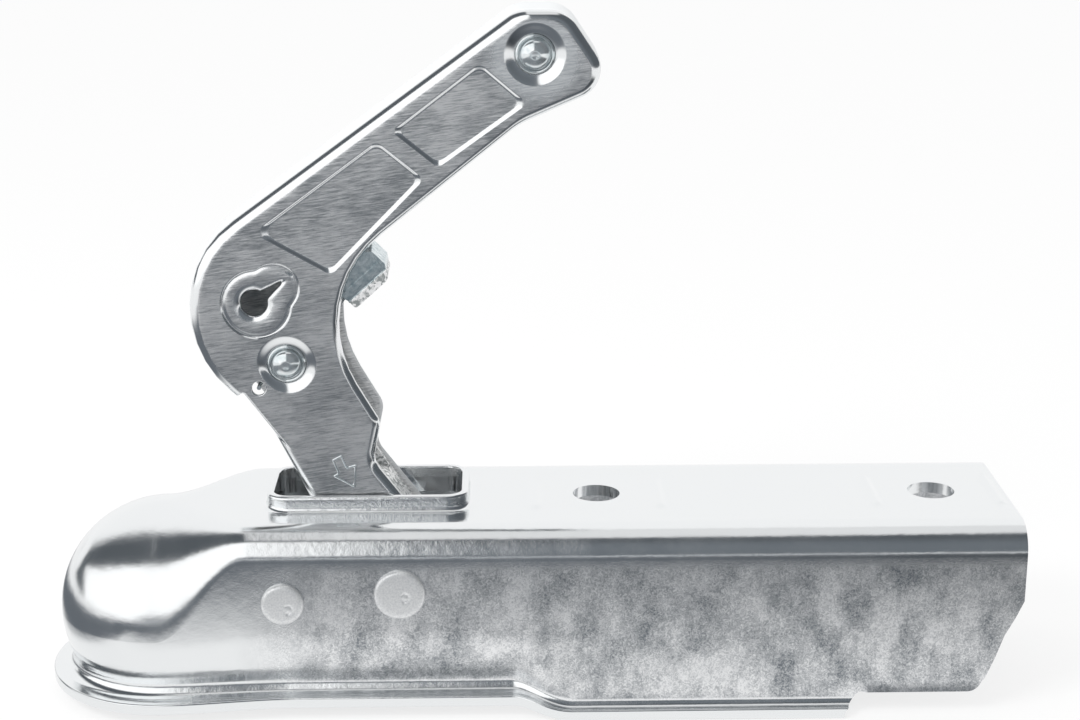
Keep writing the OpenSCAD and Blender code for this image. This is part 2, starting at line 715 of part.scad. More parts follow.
// Torsion spring round the catch's sleeve, one leg in the hole of the near side.
module catch_spring() {
  r = sleeve_r + 0.4 + leg_wire / 2;
  half = coil_half_len;
  a0 = heading(leg_at - catch_at) - acos(r / norm(leg_at - catch_at));
  a1 = heading(spring_bend - catch_at) + acos(r / norm(spring_bend - catch_at)) - 360 * catch_turns;
  steps = 14 * catch_turns;
  out = concat(
    [[leg_at[0], -handle_half + leg_wire / 2, leg_at[1]], [leg_at[0], -half - 0.8, leg_at[1]]],
    [for (i = [0:steps])
      let (a = mix(a0, a1, i / steps))
      [catch_at[0] + r * cos(a), mix(-half, half, i / steps), catch_at[1] + r * sin(a)]],
    [[spring_bend[0], half, spring_bend[1]], [spring_end[0], half, spring_end[1]]]
  );
  color("dimgray") wire(out, leg_wire / 2, [1, 0, 0]);
}

// Jaw: spherical seat behind the ball on a hub, with two ears for the strut.
module ball_jaw() {
  seat_r = ball_r + jaw_gap;
  back = seat_r + jaw_t;
  reach = [for (a = [-2:-jaw_reach / 6:-jaw_reach - 2.01]) a];
  shell = concat(
    [for (a = reach) back * [cos(a), sin(a)]],
    [for (a = reversed(reach)) (seat_r - 6) * [cos(a), sin(a)]]
  );
  color("slategray") turn_about(jaw_at, -jaw_swing) difference() {
    union() {
      plate_y(shell, -jaw_half, jaw_half);
      rod_y(jaw_at, hub_r, -hub_half, hub_half);
      plate_y(concat([jaw_at + [hub_r, 0], jaw_at - [hub_r, 0]], jaw_rib), -hub_half, hub_half);
      rod_y(strut_jaw_closed, eye_r, -ear_half, ear_half);
    }
    sphere(r = seat_r);
    rod_y(jaw_at, jaw_tube_d / 2 + fit, -jaw_half - 1, jaw_half + 1);
    rod_y(strut_jaw_closed, jaw_pin_d / 2 + fit, -ear_half - 1, ear_half + 1);
    rod_y(strut_jaw_closed, eye_r + 1.5, -eye_half - side_gap, eye_half + side_gap);
    translate([strut_jaw_closed[0], -eye_half - side_gap, strut_jaw_closed[1] - eye_r - 1.5])
      cube([30, 2 * (eye_half + side_gap), 2 * eye_r + 3]);
  }
}
module turn_about(p, a) {
  translate([p[0], 0, p[1]]) rotate([0, a, 0]) translate([-p[0], 0, -p[1]]) children();
}
module jaw_pin() {
  color("gainsboro") rod_y(strut_jaw, jaw_pin_d / 2, -ear_half, ear_half);
}

// The strut's own frame: its X axis runs from the jaw pin to the trunnion.
module on_strut() {
  translate([strut_jaw[0], 0, strut_jaw[1]]) rotate([0, -strut_tilt, 0]) children();
}
module rod_x(r, s0, s1) {
  translate([s0, 0, 0]) rotate([0, 90, 0]) cylinder(r = r, h = s1 - s0);
}
module guide_rod() {
  color("lightgray") on_strut() difference() {
    union() {
      rod_y([0, 0], eye_r, -eye_half, eye_half);
      rod_x(rod_d / 2, 0, rod_end_s);
      rod_x(rod_d / 2 + 1, 0, seat_s);
    }
    rod_y([0, 0], jaw_pin_d / 2 + fit, -eye_half - 1, eye_half + 1);
  }
}
module rod_washer() {
  color("gainsboro") on_strut() difference() {
    rod_x(spring_r + spring_wire / 2 + 0.5, seat_s, seat_s + washer_t);
    rod_x(rod_d / 2 + fit, seat_s - 1, seat_s + washer_t + 1);
  }
}
module pressure_spring() {
  s0 = seat_s + washer_t + spring_wire / 2 + side_gap / 2;
  s1 = strut_len - flat_s - spring_wire / 2 - side_gap / 2;
  steps = 14;
  n = spring_turns * steps;
  coil = [for (i = [0:n]) let (a = 360 * i / steps)
    [mix(s0, s1, i / n), spring_r * cos(a), spring_r * sin(a)]];
  color("dimgray") on_strut() wire(coil, spring_wire / 2, [1, 0, 0]);
}
module rod_clip() {
  color("gainsboro") on_strut() difference() {
    rod_x(rod_bore_d / 2 + 1.6, clip_s, clip_s + clip_t);
    rod_x(rod_d / 2 + fit, clip_s - 1, clip_s + clip_t + 1);
  }
}
// Trunnion that turns in the handle's sides and lets the rod slide through.
module spring_trunnion() {
  inner = handle_half - handle_t - side_gap;
  color("lightgray") translate([strut_handle[0], 0, strut_handle[1]])
    rotate([0, -strut_tilt, 0]) difference() {
    union() {
      intersection() {
        rod_y([0, 0], trunnion_d / 2, -inner, inner);
        translate([-flat_s, -inner, -trunnion_d]) cube([2 * flat_s, 2 * inner, 2 * trunnion_d]);
      }
      rod_y([0, 0], journal_d / 2, -handle_half, handle_half);
    }
    rod_x(rod_bore_d / 2, -trunnion_d, trunnion_d);
  }
}

housing();
front_cross_rivet();
rear_cross_rivet();
jaw_pivot_tube();
handle_pivot_tube();
left_jaw_spacer();
right_jaw_spacer();
left_handle_spacer();
right_handle_spacer();
latch_cam();
handle_shell();
grip_rivet();
grip_sleeve();
catch_rivet();
catch_sleeve();
catch_spring();
catch_lever();
ball_jaw();
jaw_pin();
guide_rod();
rod_washer();
pressure_spring();
rod_clip();
spring_trunnion();
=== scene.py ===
import bmesh
import bpy
import math
from mathutils import Matrix, Vector


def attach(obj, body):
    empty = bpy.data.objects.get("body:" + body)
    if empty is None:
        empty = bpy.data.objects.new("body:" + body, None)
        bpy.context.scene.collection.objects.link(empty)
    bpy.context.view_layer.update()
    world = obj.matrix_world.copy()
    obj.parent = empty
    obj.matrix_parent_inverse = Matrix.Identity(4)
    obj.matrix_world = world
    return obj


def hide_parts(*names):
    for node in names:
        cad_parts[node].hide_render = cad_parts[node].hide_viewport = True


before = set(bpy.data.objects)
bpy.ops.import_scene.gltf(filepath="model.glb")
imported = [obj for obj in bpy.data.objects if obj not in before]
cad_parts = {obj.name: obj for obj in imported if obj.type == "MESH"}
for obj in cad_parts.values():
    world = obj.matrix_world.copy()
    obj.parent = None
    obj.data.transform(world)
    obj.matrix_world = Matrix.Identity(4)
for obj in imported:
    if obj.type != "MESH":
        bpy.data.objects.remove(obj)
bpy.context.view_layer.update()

MM = 0.001

# Sizes of the coupling head, in millimetres, as the CAD gives them.
SHEET = 3.0
DOME_R = 28.7
HALF_W = 28.5
TOP_Z = 29.8
ROOF_Z = TOP_Z - SHEET
LENGTH = 224.5
EDGE_R = 8.0
BLEND_LEN = 24.0
NOSE_FOOT_Z = -15.6
REAR_FOOT_Z = -19.0
STEP = (92.0, 108.0)
# The window's front and rear end, half width and corner radius.
WINDOW = (30.0, 79.0, 10.8, 4.0)
BOLTS = (115.0, 205.0)
BOLT_R = 6.25
BEAD_OFF = 16.4
BEAD_HALF = 12.0
BEAD_W = 2.0
BEAD_H = 0.8
JAW_AT = (33.3, 10.9)
PIVOT_AT = (63.3, 13.3)
GRIP_AT = (98.5, 148.4)
CATCH_AT = (34.6, 69.2)
LEG_AT = (27.3, 62.9)
KEY_AT = (26.8, 85.4)
TRUNNION_AT = (70.0, -2.0)
HANDLE_HALF = 10.0
HANDLE_T = 2.0

# Vertices closer than this are one, and edges shorter than the second length go.
MERGE = 1e-4
SLIVER = 1e-5


def ease(a, b, x):
    """A smooth rise from 0 at a to 1 at b."""
    t = min(1.0, max(0.0, (x - a) / (b - a)))
    return t * t * (3 - 2 * t)


def mix(a, b, t):
    return a + (b - a) * t


def arc(cx, cz, r, a0, a1, n):
    """Points on an arc from angle a0 to a1, in degrees and n steps."""
    angles = [math.radians(mix(a0, a1, i / n)) for i in range(n + 1)]
    return [(cx + r * math.cos(a), cz + r * math.sin(a)) for a in angles]


def circle(at, r, n=48):
    """Points on a full circle, the first one not repeated."""
    turns = [math.tau * i / n for i in range(n)]
    return [(at[0] + r * math.cos(a), at[1] + r * math.sin(a)) for a in turns]


def sweep_values(stops, step):
    """Numbers from stop to stop, each stretch cut into equal steps of at most step."""
    made = [stops[0]]
    for a, b in zip(stops, stops[1:]):
        n = max(1, math.ceil(abs(b - a) / step - 1e-6))
        made += [mix(a, b, i / n) for i in range(1, n + 1)]
    return made


# Mesh steps shared by the pieces.
def line_of(bm, points, closed=False):
    """A line of vertices and edges to start a sheet from."""
    verts = [bm.verts.new(p) for p in points]
    ends = verts[1:] + verts[:1] if closed else verts[1:]
    return verts, [bm.edges.new(pair) for pair in zip(verts, ends)]


def pull(bm, line, points):
    """Extrudes a line of edges and sets each new vertex on its point."""
    verts, edges = line
    made = bmesh.ops.extrude_edge_only(bm, edges=edges)["geom"]
    fresh = {v for v in made if isinstance(v, bmesh.types.BMVert)}
    moved = {}
    for v, p in zip(verts, points):
        moved[v] = next(e.other_vert(v) for e in v.link_edges if e.other_vert(v) in fresh)
        moved[v].co = p
    far = [bm.edges.get([moved[v] for v in e.verts]) for e in edges]
    return [moved[v] for v in verts], far


def pull_all(bm, line, rows):
    """Pulls a line through one row of points after another."""
    for row in rows:
        line = pull(bm, line, row)
    return line


def raise_face(bm, outline, offset):
    """A closed block: a face on the outline, extruded by the offset."""
    face = bm.faces.new(line_of(bm, outline, closed=True)[0])
    made = bmesh.ops.extrude_face_region(bm, geom=[face])["geom"]
    verts = [v for v in made if isinstance(v, bmesh.types.BMVert)]
    bmesh.ops.translate(bm, vec=offset, verts=verts)
    return bm


def prism(outline, y0, y1):
    """A closed block with its outline in the XZ plane."""
    return raise_face(bmesh.new(), [(x, y0, z) for x, z in outline], (0, y1 - y0, 0))


def lathe(profile, at, steps=48, closed=False):
    """Spins a profile of (radius, y) round an axis along Y through a point."""
    bm = bmesh.new()
    line = line_of(bm, [(at[0] + r, y, at[1]) for r, y in profile], closed)
    bmesh.ops.spin(
        bm, geom=[*line[0], *line[1]], cent=(at[0], 0, at[1]), axis=(0, 1, 0),
        angle=math.tau, steps=steps, use_merge=True,
    )
    bmesh.ops.remove_doubles(bm, verts=bm.verts, dist=MERGE)
    bmesh.ops.dissolve_degenerate(bm, edges=bm.edges, dist=SLIVER)
    bmesh.ops.recalc_face_normals(bm, faces=bm.faces)
    return bm


def both_ends(cap):
    """A pin's profile from the half (radius, y) of one end, mirrored to the other."""
    return [(r, -y) for r, y in cap] + [(r, y) for r, y in cap[::-1]]


def facing(bm, up):
    """Turns an open sheet so that its face farthest along up looks along up."""
    bmesh.ops.recalc_face_normals(bm, faces=bm.faces)
    up = Vector(up)
    top = max(bm.faces, key=lambda f: f.calc_center_median().dot(up))
    if top.normal.dot(up) < 0:
        bmesh.ops.reverse_faces(bm, faces=bm.faces)


def linked(name, bm):
    """Turns a bmesh into an object of the scene."""
    mesh = bpy.data.meshes.new(name)
    bm.to_mesh(mesh)
    bm.free()
    obj = bpy.data.objects.new(name, mesh)
    bpy.context.scene.collection.objects.link(obj)
    return obj


def piece(name, bm, body, material, replaces=(), smooth=35):
    """Makes the object from a bmesh in millimetres, and gives it its body and material."""
    bmesh.ops.scale(bm, vec=(MM, MM, MM), verts=bm.verts)
    obj = linked(name, bm)
    obj.data.shade_smooth()
    obj.data.set_sharp_from_angle(angle=math.radians(smooth))
    obj.data.materials.append(material)
    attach(obj, body)
    if replaces:
        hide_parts(*replaces)
    return obj


def weighted(obj):
    """Keeps flat faces flat beside round bends."""
    m = obj.modifiers.new("flat_faces", "WEIGHTED_NORMAL")
    m.keep_sharp = True
    m.weight = 80


def tool_object(name, bm):
    bmesh.ops.recalc_face_normals(bm, faces=bm.faces)
    return linked(name, bm)


def cut(bm, *steps):
    """Runs Boolean steps (operation, tool bmesh) on a closed bmesh and returns the result."""
    base = tool_object("cut_base", bm)
    tools = []
    for i, (operation, tool) in enumerate(steps):
        tools.append(tool_object(f"cut_tool_{i}", tool))
        m = base.modifiers.new(f"step_{i}", "BOOLEAN")
        m.operation = operation
        m.solver = "EXACT"
        m.object = tools[-1]
    bpy.context.view_layer.update()
    done = base.evaluated_get(bpy.context.evaluated_depsgraph_get()).to_mesh()
    out = bmesh.new()
    out.from_mesh(done)
    for o in [base, *tools]:
        bpy.data.objects.remove(o)
    bmesh.ops.remove_doubles(out, verts=out.verts, dist=MERGE)
    return out


# Outlines with rounded corners, as (x, z, radius) in order round the shape.
LEAST_CORNER_R = 0.3


def inset_corners(corners, d, shares=None):
    """Each side moved inward by d, or by its share of d."""
    n = len(corners)
    shares = shares or [1] * n
    made = []
    for i, (x, z, r) in enumerate(corners):
        a = Vector(corners[i - 1][:2])
        b = Vector((x, z))
        e = Vector(corners[(i + 1) % n][:2])
        u, v = (b - a).normalized(), (e - b).normalized()
        before, after = shares[i - 1] * d, shares[i] * d
        p, q = a + Vector((-u.y, u.x)) * before, b + Vector((-v.y, v.x)) * after
        k = u.x * v.y - u.y * v.x
        t = ((q.x - p.x) * v.y - (q.y - p.y) * v.x) / k
        bend = max(LEAST_CORNER_R, r - math.copysign((before + after) / 2, k))
        made.append((p.x + u.x * t, p.y + u.y * t, bend))
    return made


def rounded(corners, n):
    """The outline's points, each corner an arc of n steps."""
    m = len(corners)
    made = []
    for i, (x, z, r) in enumerate(corners):
        b = Vector((x, z))
        u = (Vector(corners[i - 1][:2]) - b).normalized()
        v = (Vector(corners[(i + 1) % m][:2]) - b).normalized()
        half = math.acos(max(-1, min(1, u.dot(v)))) / 2
        o = b + (u + v).normalized() * (r / math.sin(half))
        p = b + u * (r / math.tan(half)) - o
        a0 = math.atan2(p.y, p.x)
        turn = math.copysign(math.pi - 2 * half, u.y * v.x - u.x * v.y)
        angles = [a0 + turn * k / n for k in range(n + 1)]
        made += [(o.x + r * math.cos(a), o.y + r * math.sin(a)) for a in angles]
    return made


# Materials.
def linear(code):
    """An sRGB hex colour as linear RGBA."""
    parts = [int(code[i:i + 2], 16) / 255 for i in (1, 3, 5)]
    return (*[c / 12.92 if c <= 0.04045 else ((c + 0.055) / 1.055) ** 2.4 for c in parts], 1.0)


def add(tree, kind, inputs=None, **settings):
    """Adds a node with its settings, values and links."""
    n = tree.nodes.new(kind)
    for key, value in settings.items():
        setattr(n, key, value)
    for key, value in (inputs or {}).items():
        if isinstance(value, bpy.types.NodeSocket):
            tree.links.new(value, n.inputs[key])
        else:
            n.inputs[key].default_value = value
    return n


def compute(tree, operation, *values):
    """A math node on one, two or three numbers."""
    return add(tree, "ShaderNodeMath", dict(enumerate(values)), operation=operation).outputs[0]


def dot(tree, vector, axis):
    """How far a vector reaches along an axis."""
    values = {0: vector, 1: axis}
    return add(tree, "ShaderNodeVectorMath", values, operation="DOT_PRODUCT").outputs["Value"]


def ramp(tree, value, low, high, start=0.0, end=1.0, smooth=False):
    """Carries low to start and high to end, and stays level beyond them."""
    kind = "SMOOTHSTEP" if smooth else "LINEAR"
    values = {0: value, 1: low, 2: high, 3: start, 4: end}
    return add(tree, "ShaderNodeMapRange", values, interpolation_type=kind).outputs[0]


def blend(tree, factor, first, second, kind="RGBA"):
    """Goes from the first to the second, each a number, a colour, a hex code or a socket."""
    first, second = [linear(v) if isinstance(v, str) else v for v in (first, second)]
    values = {"Factor": factor, "A": first, "B": second}
    return add(tree, "ShaderNodeMix", values, data_type=kind).outputs["Result"]


def noise(tree, place, size, detail, roughness=0.5, distortion=0.0):
    """Noise with grains of the given size in metres."""
    values = {"Vector": place, "Scale": 1 / size, "Detail": detail}
    values |= {"Roughness": roughness, "Distortion": distortion}
    return add(tree, "ShaderNodeTexNoise", values).outputs[0]


def stretched(tree, place, x, y, z):
    """Coordinates where a noise of size 1 has grains of these lengths in metres."""
    return add(tree, "ShaderNodeMapping", {"Vector": place, "Scale": (1 / x, 1 / y, 1 / z)}).outputs[0]


def bump(tree, height, strength, distance):
    values = {"Height": height, "Strength": strength, "Distance": distance}
    return add(tree, "ShaderNodeBump", values).outputs[0]


def split(tree, vector):
    """The X, Y and Z of a vector."""
    return add(tree, "ShaderNodeSeparateXYZ", {0: vector}).outputs


def start_material(name):
    m = bpy.data.materials.new(name)
    m.use_nodes = True
    tree = m.node_tree
    tree.nodes.clear()
    place = add(tree, "ShaderNodeTexCoord").outputs["Object"]
    return m, tree, place


def level_faces(tree, low, high):
    """1 where the surface looks along Y, 0 where it is tipped so far that the cosine is low."""
    normal = add(tree, "ShaderNodeNewGeometry").outputs["Normal"]
    across = compute(tree, "ABSOLUTE", split(tree, normal)["Y"])
    return ramp(tree, across, low, high, smooth=True)


def finish_material(m, tree, colour, roughness, normal, metallic=1.0):
    values = {"Base Color": colour, "Metallic": metallic, "Roughness": roughness, "Normal": normal}
    shader = add(tree, "ShaderNodeBsdfPrincipled", values)
    add(tree, "ShaderNodeOutputMaterial", {"Surface": shader.outputs[0]})
    return m


def frosted_flanks(tree, xyz):
    """1 on the housing's upright flanks, which the acid frosted, and 0 on what stayed bright."""
    upright = level_faces(tree, 0.72, 0.84)
    behind_dome = ramp(tree, xyz["X"], 0.018, 0.05, smooth=True)
    below_edge = ramp(tree, xyz["Z"], 0.0225, 0.0185, smooth=True)
    # The frost ends above the flange, which steps down 3.4 mm behind the jaw.
    foot = ramp(tree, xyz["X"], STEP[0] * MM, STEP[1] * MM, 0.013, 0.0172)
    above_foot = ramp(tree, compute(tree, "ADD", xyz["Z"], foot), 0.0, 0.0006)
    flank = upright
    for limit in (behind_dome, below_edge, above_foot):
        flank = compute(tree, "MULTIPLY", flank, limit)
    return flank


def housing_material():
    """Bright zinc on a deep-drawn pressing, mirror-like where the die stretched it."""
    m, tree, place = start_material("bright_zinc_pressing")
    xyz = split(tree, place)
    flank = frosted_flanks(tree, xyz)
    # Crystal grit of 0.8 mm and less, curled like frost.
    grain = ramp(tree, noise(tree, place, 0.0008, 2.0, 0.6, 1.6), 0.38, 0.66)
    # Cloudy draw marks, 7 mm wide and 9 mm tall, and hair lines of 0.9 by 6 mm between them.
    cloud = noise(tree, stretched(tree, place, 0.007, 0.02, 0.009), 1.0, 3.0)
    hair = noise(tree, stretched(tree, place, 0.0009, 0.01, 0.006), 1.0, 2.0)
    # Patches 35 mm across, where the acid bit less.
    patch = noise(tree, place, 0.035, 1.0)
    tone = compute(tree, "MULTIPLY_ADD", grain, 0.9, ramp(tree, cloud, 0.32, 0.68))
    tone = compute(tree, "MULTIPLY_ADD", ramp(tree, hair, 0.4, 0.65), 0.15, tone)
    tone = compute(tree, "MULTIPLY_ADD", patch, 1.1, tone)
    tone = ramp(tree, tone, 0.65, 2.25)
    colour = blend(tree, flank, "#eef0f1", blend(tree, tone, "#7f858b", "#f2f3f4"))
    # Faint stains on the bright parts, 12 mm across.
    stained = ramp(tree, noise(tree, place, 0.012, 6.0, 0.6), 0.3, 0.7, 0.11, 0.2)
    matt = ramp(tree, tone, 0.0, 1.0, 0.44, 0.34)
    rough = blend(tree, flank, stained, matt, "FLOAT")
    # The grit stands out on the flanks, hardly on the dome, and most on the collar's torn outer wall.
    torn = [ramp(tree, xyz["Z"], *heights) for heights in ((0.0308, 0.0316), (0.0333, 0.0327))]
    share = compute(tree, "MULTIPLY_ADD", compute(tree, "MULTIPLY", *torn), 3.0, flank)
    share = compute(tree, "ADD", share, 0.12)
    relief = compute(tree, "MULTIPLY", grain, share)
    # Under it lie ripples of the pressing, 3 mm long.
    ripple = noise(tree, place, 0.003, 3.0)
    relief = compute(tree, "MULTIPLY_ADD", relief, 0.5, ripple)
    return finish_material(m, tree, colour, rough, bump(tree, relief, 0.12, 0.0004))


def handle_material():
    """Bright zinc over belt-ground sheet: short level scratches on the flats, polished bends."""
    m, tree, place = start_material("ground_zinc_lever")
    # The belt reached the level faces, but hardly the end round the grip pin.
    grip = (GRIP_AT[0] * MM, 0, GRIP_AT[1] * MM)
    off = add(tree, "ShaderNodeVectorMath", {0: place, 1: (1, 0, 1)}, operation="MULTIPLY").outputs[0]
    off = add(tree, "ShaderNodeVectorMath", {0: off, 1: grip}, operation="DISTANCE").outputs["Value"]
    reached = ramp(tree, off, 0.009, 0.014, 0.35, smooth=True)
    flat = compute(tree, "MULTIPLY", level_faces(tree, 0.965, 0.992), reached)
    # Scratches 3.5 mm long and 0.3 mm wide, tipped a little off level.
    tipped = {"Vector": place, "Rotation": (0, math.radians(8), 0)}
    tipped = add(tree, "ShaderNodeMapping", tipped).outputs[0]
    scratch = noise(tree, stretched(tree, tipped, 0.0035, 0.004, 0.00032), 1.0, 4.0, 0.65)
    marks = ramp(tree, scratch, 0.34, 0.7)
    # Clouds 14 mm across, where the belt pressed harder.
    cloud = noise(tree, place, 0.014, 3.0)
    tone = ramp(tree, compute(tree, "MULTIPLY_ADD", marks, 0.7, cloud), 0.45, 1.1)
    colour = blend(tree, flat, "#f0f2f3", blend(tree, tone, "#a3a7ab", "#fcfcfc"))
    # Inside the fold, 8 mm off the middle and less, the plate is satin.
    side = compute(tree, "ABSOLUTE", split(tree, place)["Y"])
    bend = ramp(tree, side, 0.0083, 0.0078, 0.14, 0.5)
    metallic = ramp(tree, side, 0.0083, 0.0078, 1.0, 0.4)
    rough = blend(tree, flat, bend, ramp(tree, marks, 0.0, 1.0, 0.42, 0.3), "FLOAT")
    height = compute(tree, "MULTIPLY", marks, flat)
    return finish_material(m, tree, colour, rough, bump(tree, height, 0.5, 0.00005), metallic)


def catch_material():
    """Blue-passivated zinc on folded sheet, whose outer strip was torn in chips as it was sheared."""
    m, tree, place = start_material("sheared_zinc_sheet")
    # Mottled plate, in spots of 1.6 mm.
    tone = ramp(tree, noise(tree, place, 0.0016, 4.0, 0.6), 0.3, 0.7)
    plate = blend(tree, tone, "#9fb2b9", "#e6eef0")
    # The torn strip lies within 2.3 mm of the web's outer edge, and its chips are 1.2 mm wide.
    torn = ramp(tree, dot(tree, place, (0.669, 0, -0.743)), -0.0291, -0.0288)
    chips = ramp(tree, noise(tree, place, 0.0012, 3.0, distortion=1.0), 0.4, 0.56)
    colour = blend(tree, torn, plate, blend(tree, chips, "#9a9f9f", "#fafafa"))
    rough = ramp(tree, torn, 0.0, 1.0, 0.16, 0.36)
    metallic = ramp(tree, torn, 0.0, 1.0, 0.9, 0.5)
    height = compute(tree, "MULTIPLY", chips, torn)
    return finish_material(m, tree, colour, rough, bump(tree, height, 0.6, 0.0002), metallic)


def plated_material(name, dark, light, size, low, high, depth, metallic=1.0):
    """Zinc plate or steel whose tone and gloss wander over a grain of the given size in metres."""
    m, tree, place = start_material(name)
    grain = noise(tree, place, size, 5.0, 0.6)
    tone = ramp(tree, grain, 0.3, 0.7)
    colour = blend(tree, tone, dark, light)
    rough = ramp(tree, tone, 0.0, 1.0, high, low)
    return finish_material(m, tree, colour, rough, bump(tree, grain, 0.5, depth), metallic)


ZINC = housing_material()
LEVER = handle_material()
# Blue-passivated zinc on small turned parts: near mirror, faint tea stains 2 mm across.
POLISHED = plated_material(
    "blue_passivated_zinc", "#c9d4d7", "#eceff0", 0.002, 0.1, 0.18, 0.00001, 0.88,
)
SHEARED = catch_material()
# Rivet heads set cold after plating: matt, with the tool's grain of 0.5 mm.
FROSTED = plated_material(
    "cold_set_rivet_zinc", "#cdcfd1", "#eeefef", 0.0005, 0.34, 0.46, 0.00002, 0.7,
)
# Turned steel tubes and pins, plainly plated.
TURNED = plated_material("turned_steel", "#8f9294", "#b4b7b9", 0.0015, 0.26, 0.36, 0.00002)
# Drawn spring wire with an oil film.
WIRE = plated_material("oiled_spring_wire", "#5b5f62", "#8b8f92", 0.0012, 0.24, 0.36, 0.00002)
# Zinc-plated casting with the sand's texture of 0.8 mm.
CAST = plated_material("sand_cast_zinc", "#85898b", "#a9acae", 0.0008, 0.42, 0.56, 0.00012)


# Housing: the sheet's half section is drawn out from the rear, round the nose.
ROOF_LINES = (0, 3, 6, 8, 9, 9.5, 10, 10.5, 11, 11.5, 12, 12.5, 13.5, 16, 18.5, 19.6, 20.2)
ROOF_SHARES = [y / (HALF_W - EDGE_R) for y in ROOF_LINES]
# The neck behind the dome, and the heights at which the wall starts to turn in to the flange.
NECK_LEN = BLEND_LEN * 1.5
WAIST_TURN_Z = 3.0
REAR_TURN_RISE = 4.0
# The flange's upper fillet and its flat lip, from the nose to the drawbar.
NOSE_FILLET, REAR_FILLET = 3.0, 2.0
NOSE_LIP, WAIST_LIP, REAR_LIP = 2.7, 1.2, 0.5
FLANGE_EDGE_R = 0.5
FLANGE_END = 178.4
# Behind the flange's end the wall's cut edge flares out a little.
FLARE = (182.0, 185.0)
FLARE_FILLET = 4
FLARE_RISE = 2.2
# Spacing of the sections over short stretches, over longer curved ones and over plain ones.
FINE, MEDIUM, COARSE = 0.45, 1.0, 3.0
SHORT = 5
# Length of housing drawn beyond its rear end and trimmed off again.
SPARE = 6
# Below this height nothing of the section is roof.
ROOF_FROM_Z = 20


def bead_rise(x, y):
    """Height of the stiffening beads over the roof at a point."""
    rise = 0.0
    for bolt in BOLTS:
        for s in (-1, 1):
            dx = (x - bolt - s * BEAD_OFF) / BEAD_W
            dy = max(0.0, abs(y) - (BEAD_HALF - BEAD_W)) / BEAD_W
            d = math.hypot(dx, dy)
            if d < 1:
                rise = max(rise, BEAD_H * math.cos(d * math.pi / 2) ** 2)
    return rise


def skin_path(x, d):
    """The half section at station x, on the face that lies d inside the outer one."""
    blended = ease(0, BLEND_LEN, x)
    necked = ease(0, NECK_LEN, x)
    stepped = ease(*STEP, x)
    flared = ease(*FLARE, x)
    top = mix(DOME_R, TOP_Z, blended)
    edge_r = mix(DOME_R - 0.5, EDGE_R, blended)
    half = mix(DOME_R, HALF_W, blended)
    fillet = mix(NOSE_FILLET, REAR_FILLET, stepped) + FLARE_FILLET * flared
    foot_z = mix(NOSE_FOOT_Z, REAR_FOOT_Z, stepped)
    turn_z = mix(WAIST_TURN_Z * necked, REAR_FOOT_Z + REAR_TURN_RISE + FLARE_RISE * flared, stepped)
    turn = math.asin((turn_z - foot_z - fillet) / (DOME_R + fillet))
    foot_x = half - DOME_R + (DOME_R + fillet) * math.cos(turn)
    lip = mix(mix(NOSE_LIP, WAIST_LIP, necked), REAR_LIP, stepped)
    turn = math.degrees(turn)
    roof = [(share * (half - edge_r), top - d) for share in ROOF_SHARES]
    edge = arc(half - edge_r, top - edge_r, edge_r - d, 90, 0, 18)
    wall = [(half - d, mix(top - edge_r, turn_z, i / 6)) for i in range(1, 6)]
    lower = arc(half - DOME_R, turn_z, DOME_R - d, 0, -turn, 10)
    foot = arc(foot_x, foot_z + fillet, fillet + d, 180 - turn, 270, 10)
    return roof + edge + wall + lower + foot, foot_x + lip, foot_z


def section(x):
    """The sheet's half section at station x, with both faces and the flange's rounded edge."""
    outer, end, foot_z = skin_path(x, 0)
    inner, _, _ = skin_path(x, SHEET)
    r = min(FLANGE_EDGE_R, 0.8 * (end - outer[-1][0]))
    upper = arc(end - r, foot_z - r, r, 90, 0, 3)
    lower = arc(end - r, foot_z - SHEET + r, r, 0, -90, 3)
    return outer + upper + lower + inner[::-1]


def stations():
    """Where sections stand: along X from the rear, then turned round the nose in degrees."""
    beads = [b + s * BEAD_OFF for b in BOLTS for s in (-1, 1)]
    bead_ends = [b + t for b in beads for t in (-BEAD_W - 0.2, BEAD_W + 0.2)]
    stops = {LENGTH + SPARE, FLARE[1] + 0.4, FLARE[0] - 0.2, *STEP, NECK_LEN, 0.0, *bead_ends}
    stops = sorted(stops, reverse=True)
    along = []
    for a, b in zip(stops, stops[1:]):
        curved = a <= NECK_LEN or (b >= STEP[0] and a <= STEP[1])
        spacing = FINE if a - b < SHORT else MEDIUM if curved else COARSE
        along += sweep_values([a, b], spacing)[:-1]
    return [(x, 90.0) for x in along] + [(0.0, a) for a in sweep_values([90, 180], 3)]


def housing_shell():
    """The whole sheet as a closed solid, before its window, holes and rear edge are cut."""
    rows = []
    for x, angle in stations():
        c, s = math.cos(math.radians(angle)), math.sin(math.radians(angle))
        row = [(x + r * c, r * s, z) for r, z in section(x)]
        rows.append([(px, py, z + bead_rise(px, py) * (z > ROOF_FROM_Z)) for px, py, z in row])
    bm = bmesh.new()
    pull_all(bm, line_of(bm, rows[0]), rows[1:])
    for v in bm.verts:
        if abs(v.co.y) < MERGE:
            v.co.y = 0
    bmesh.ops.mirror(bm, geom=[*bm.verts, *bm.edges, *bm.faces], axis="Y", merge_dist=MERGE)
    bmesh.ops.remove_doubles(bm, verts=bm.verts, dist=MERGE)
    bmesh.ops.dissolve_degenerate(bm, edges=bm.edges, dist=SLIVER)
    bmesh.ops.holes_fill(bm, edges=[e for e in bm.edges if e.is_boundary], sides=0)
    bmesh.ops.triangulate(bm, faces=[f for f in bm.faces if len(f.verts) > 4])
    return bm


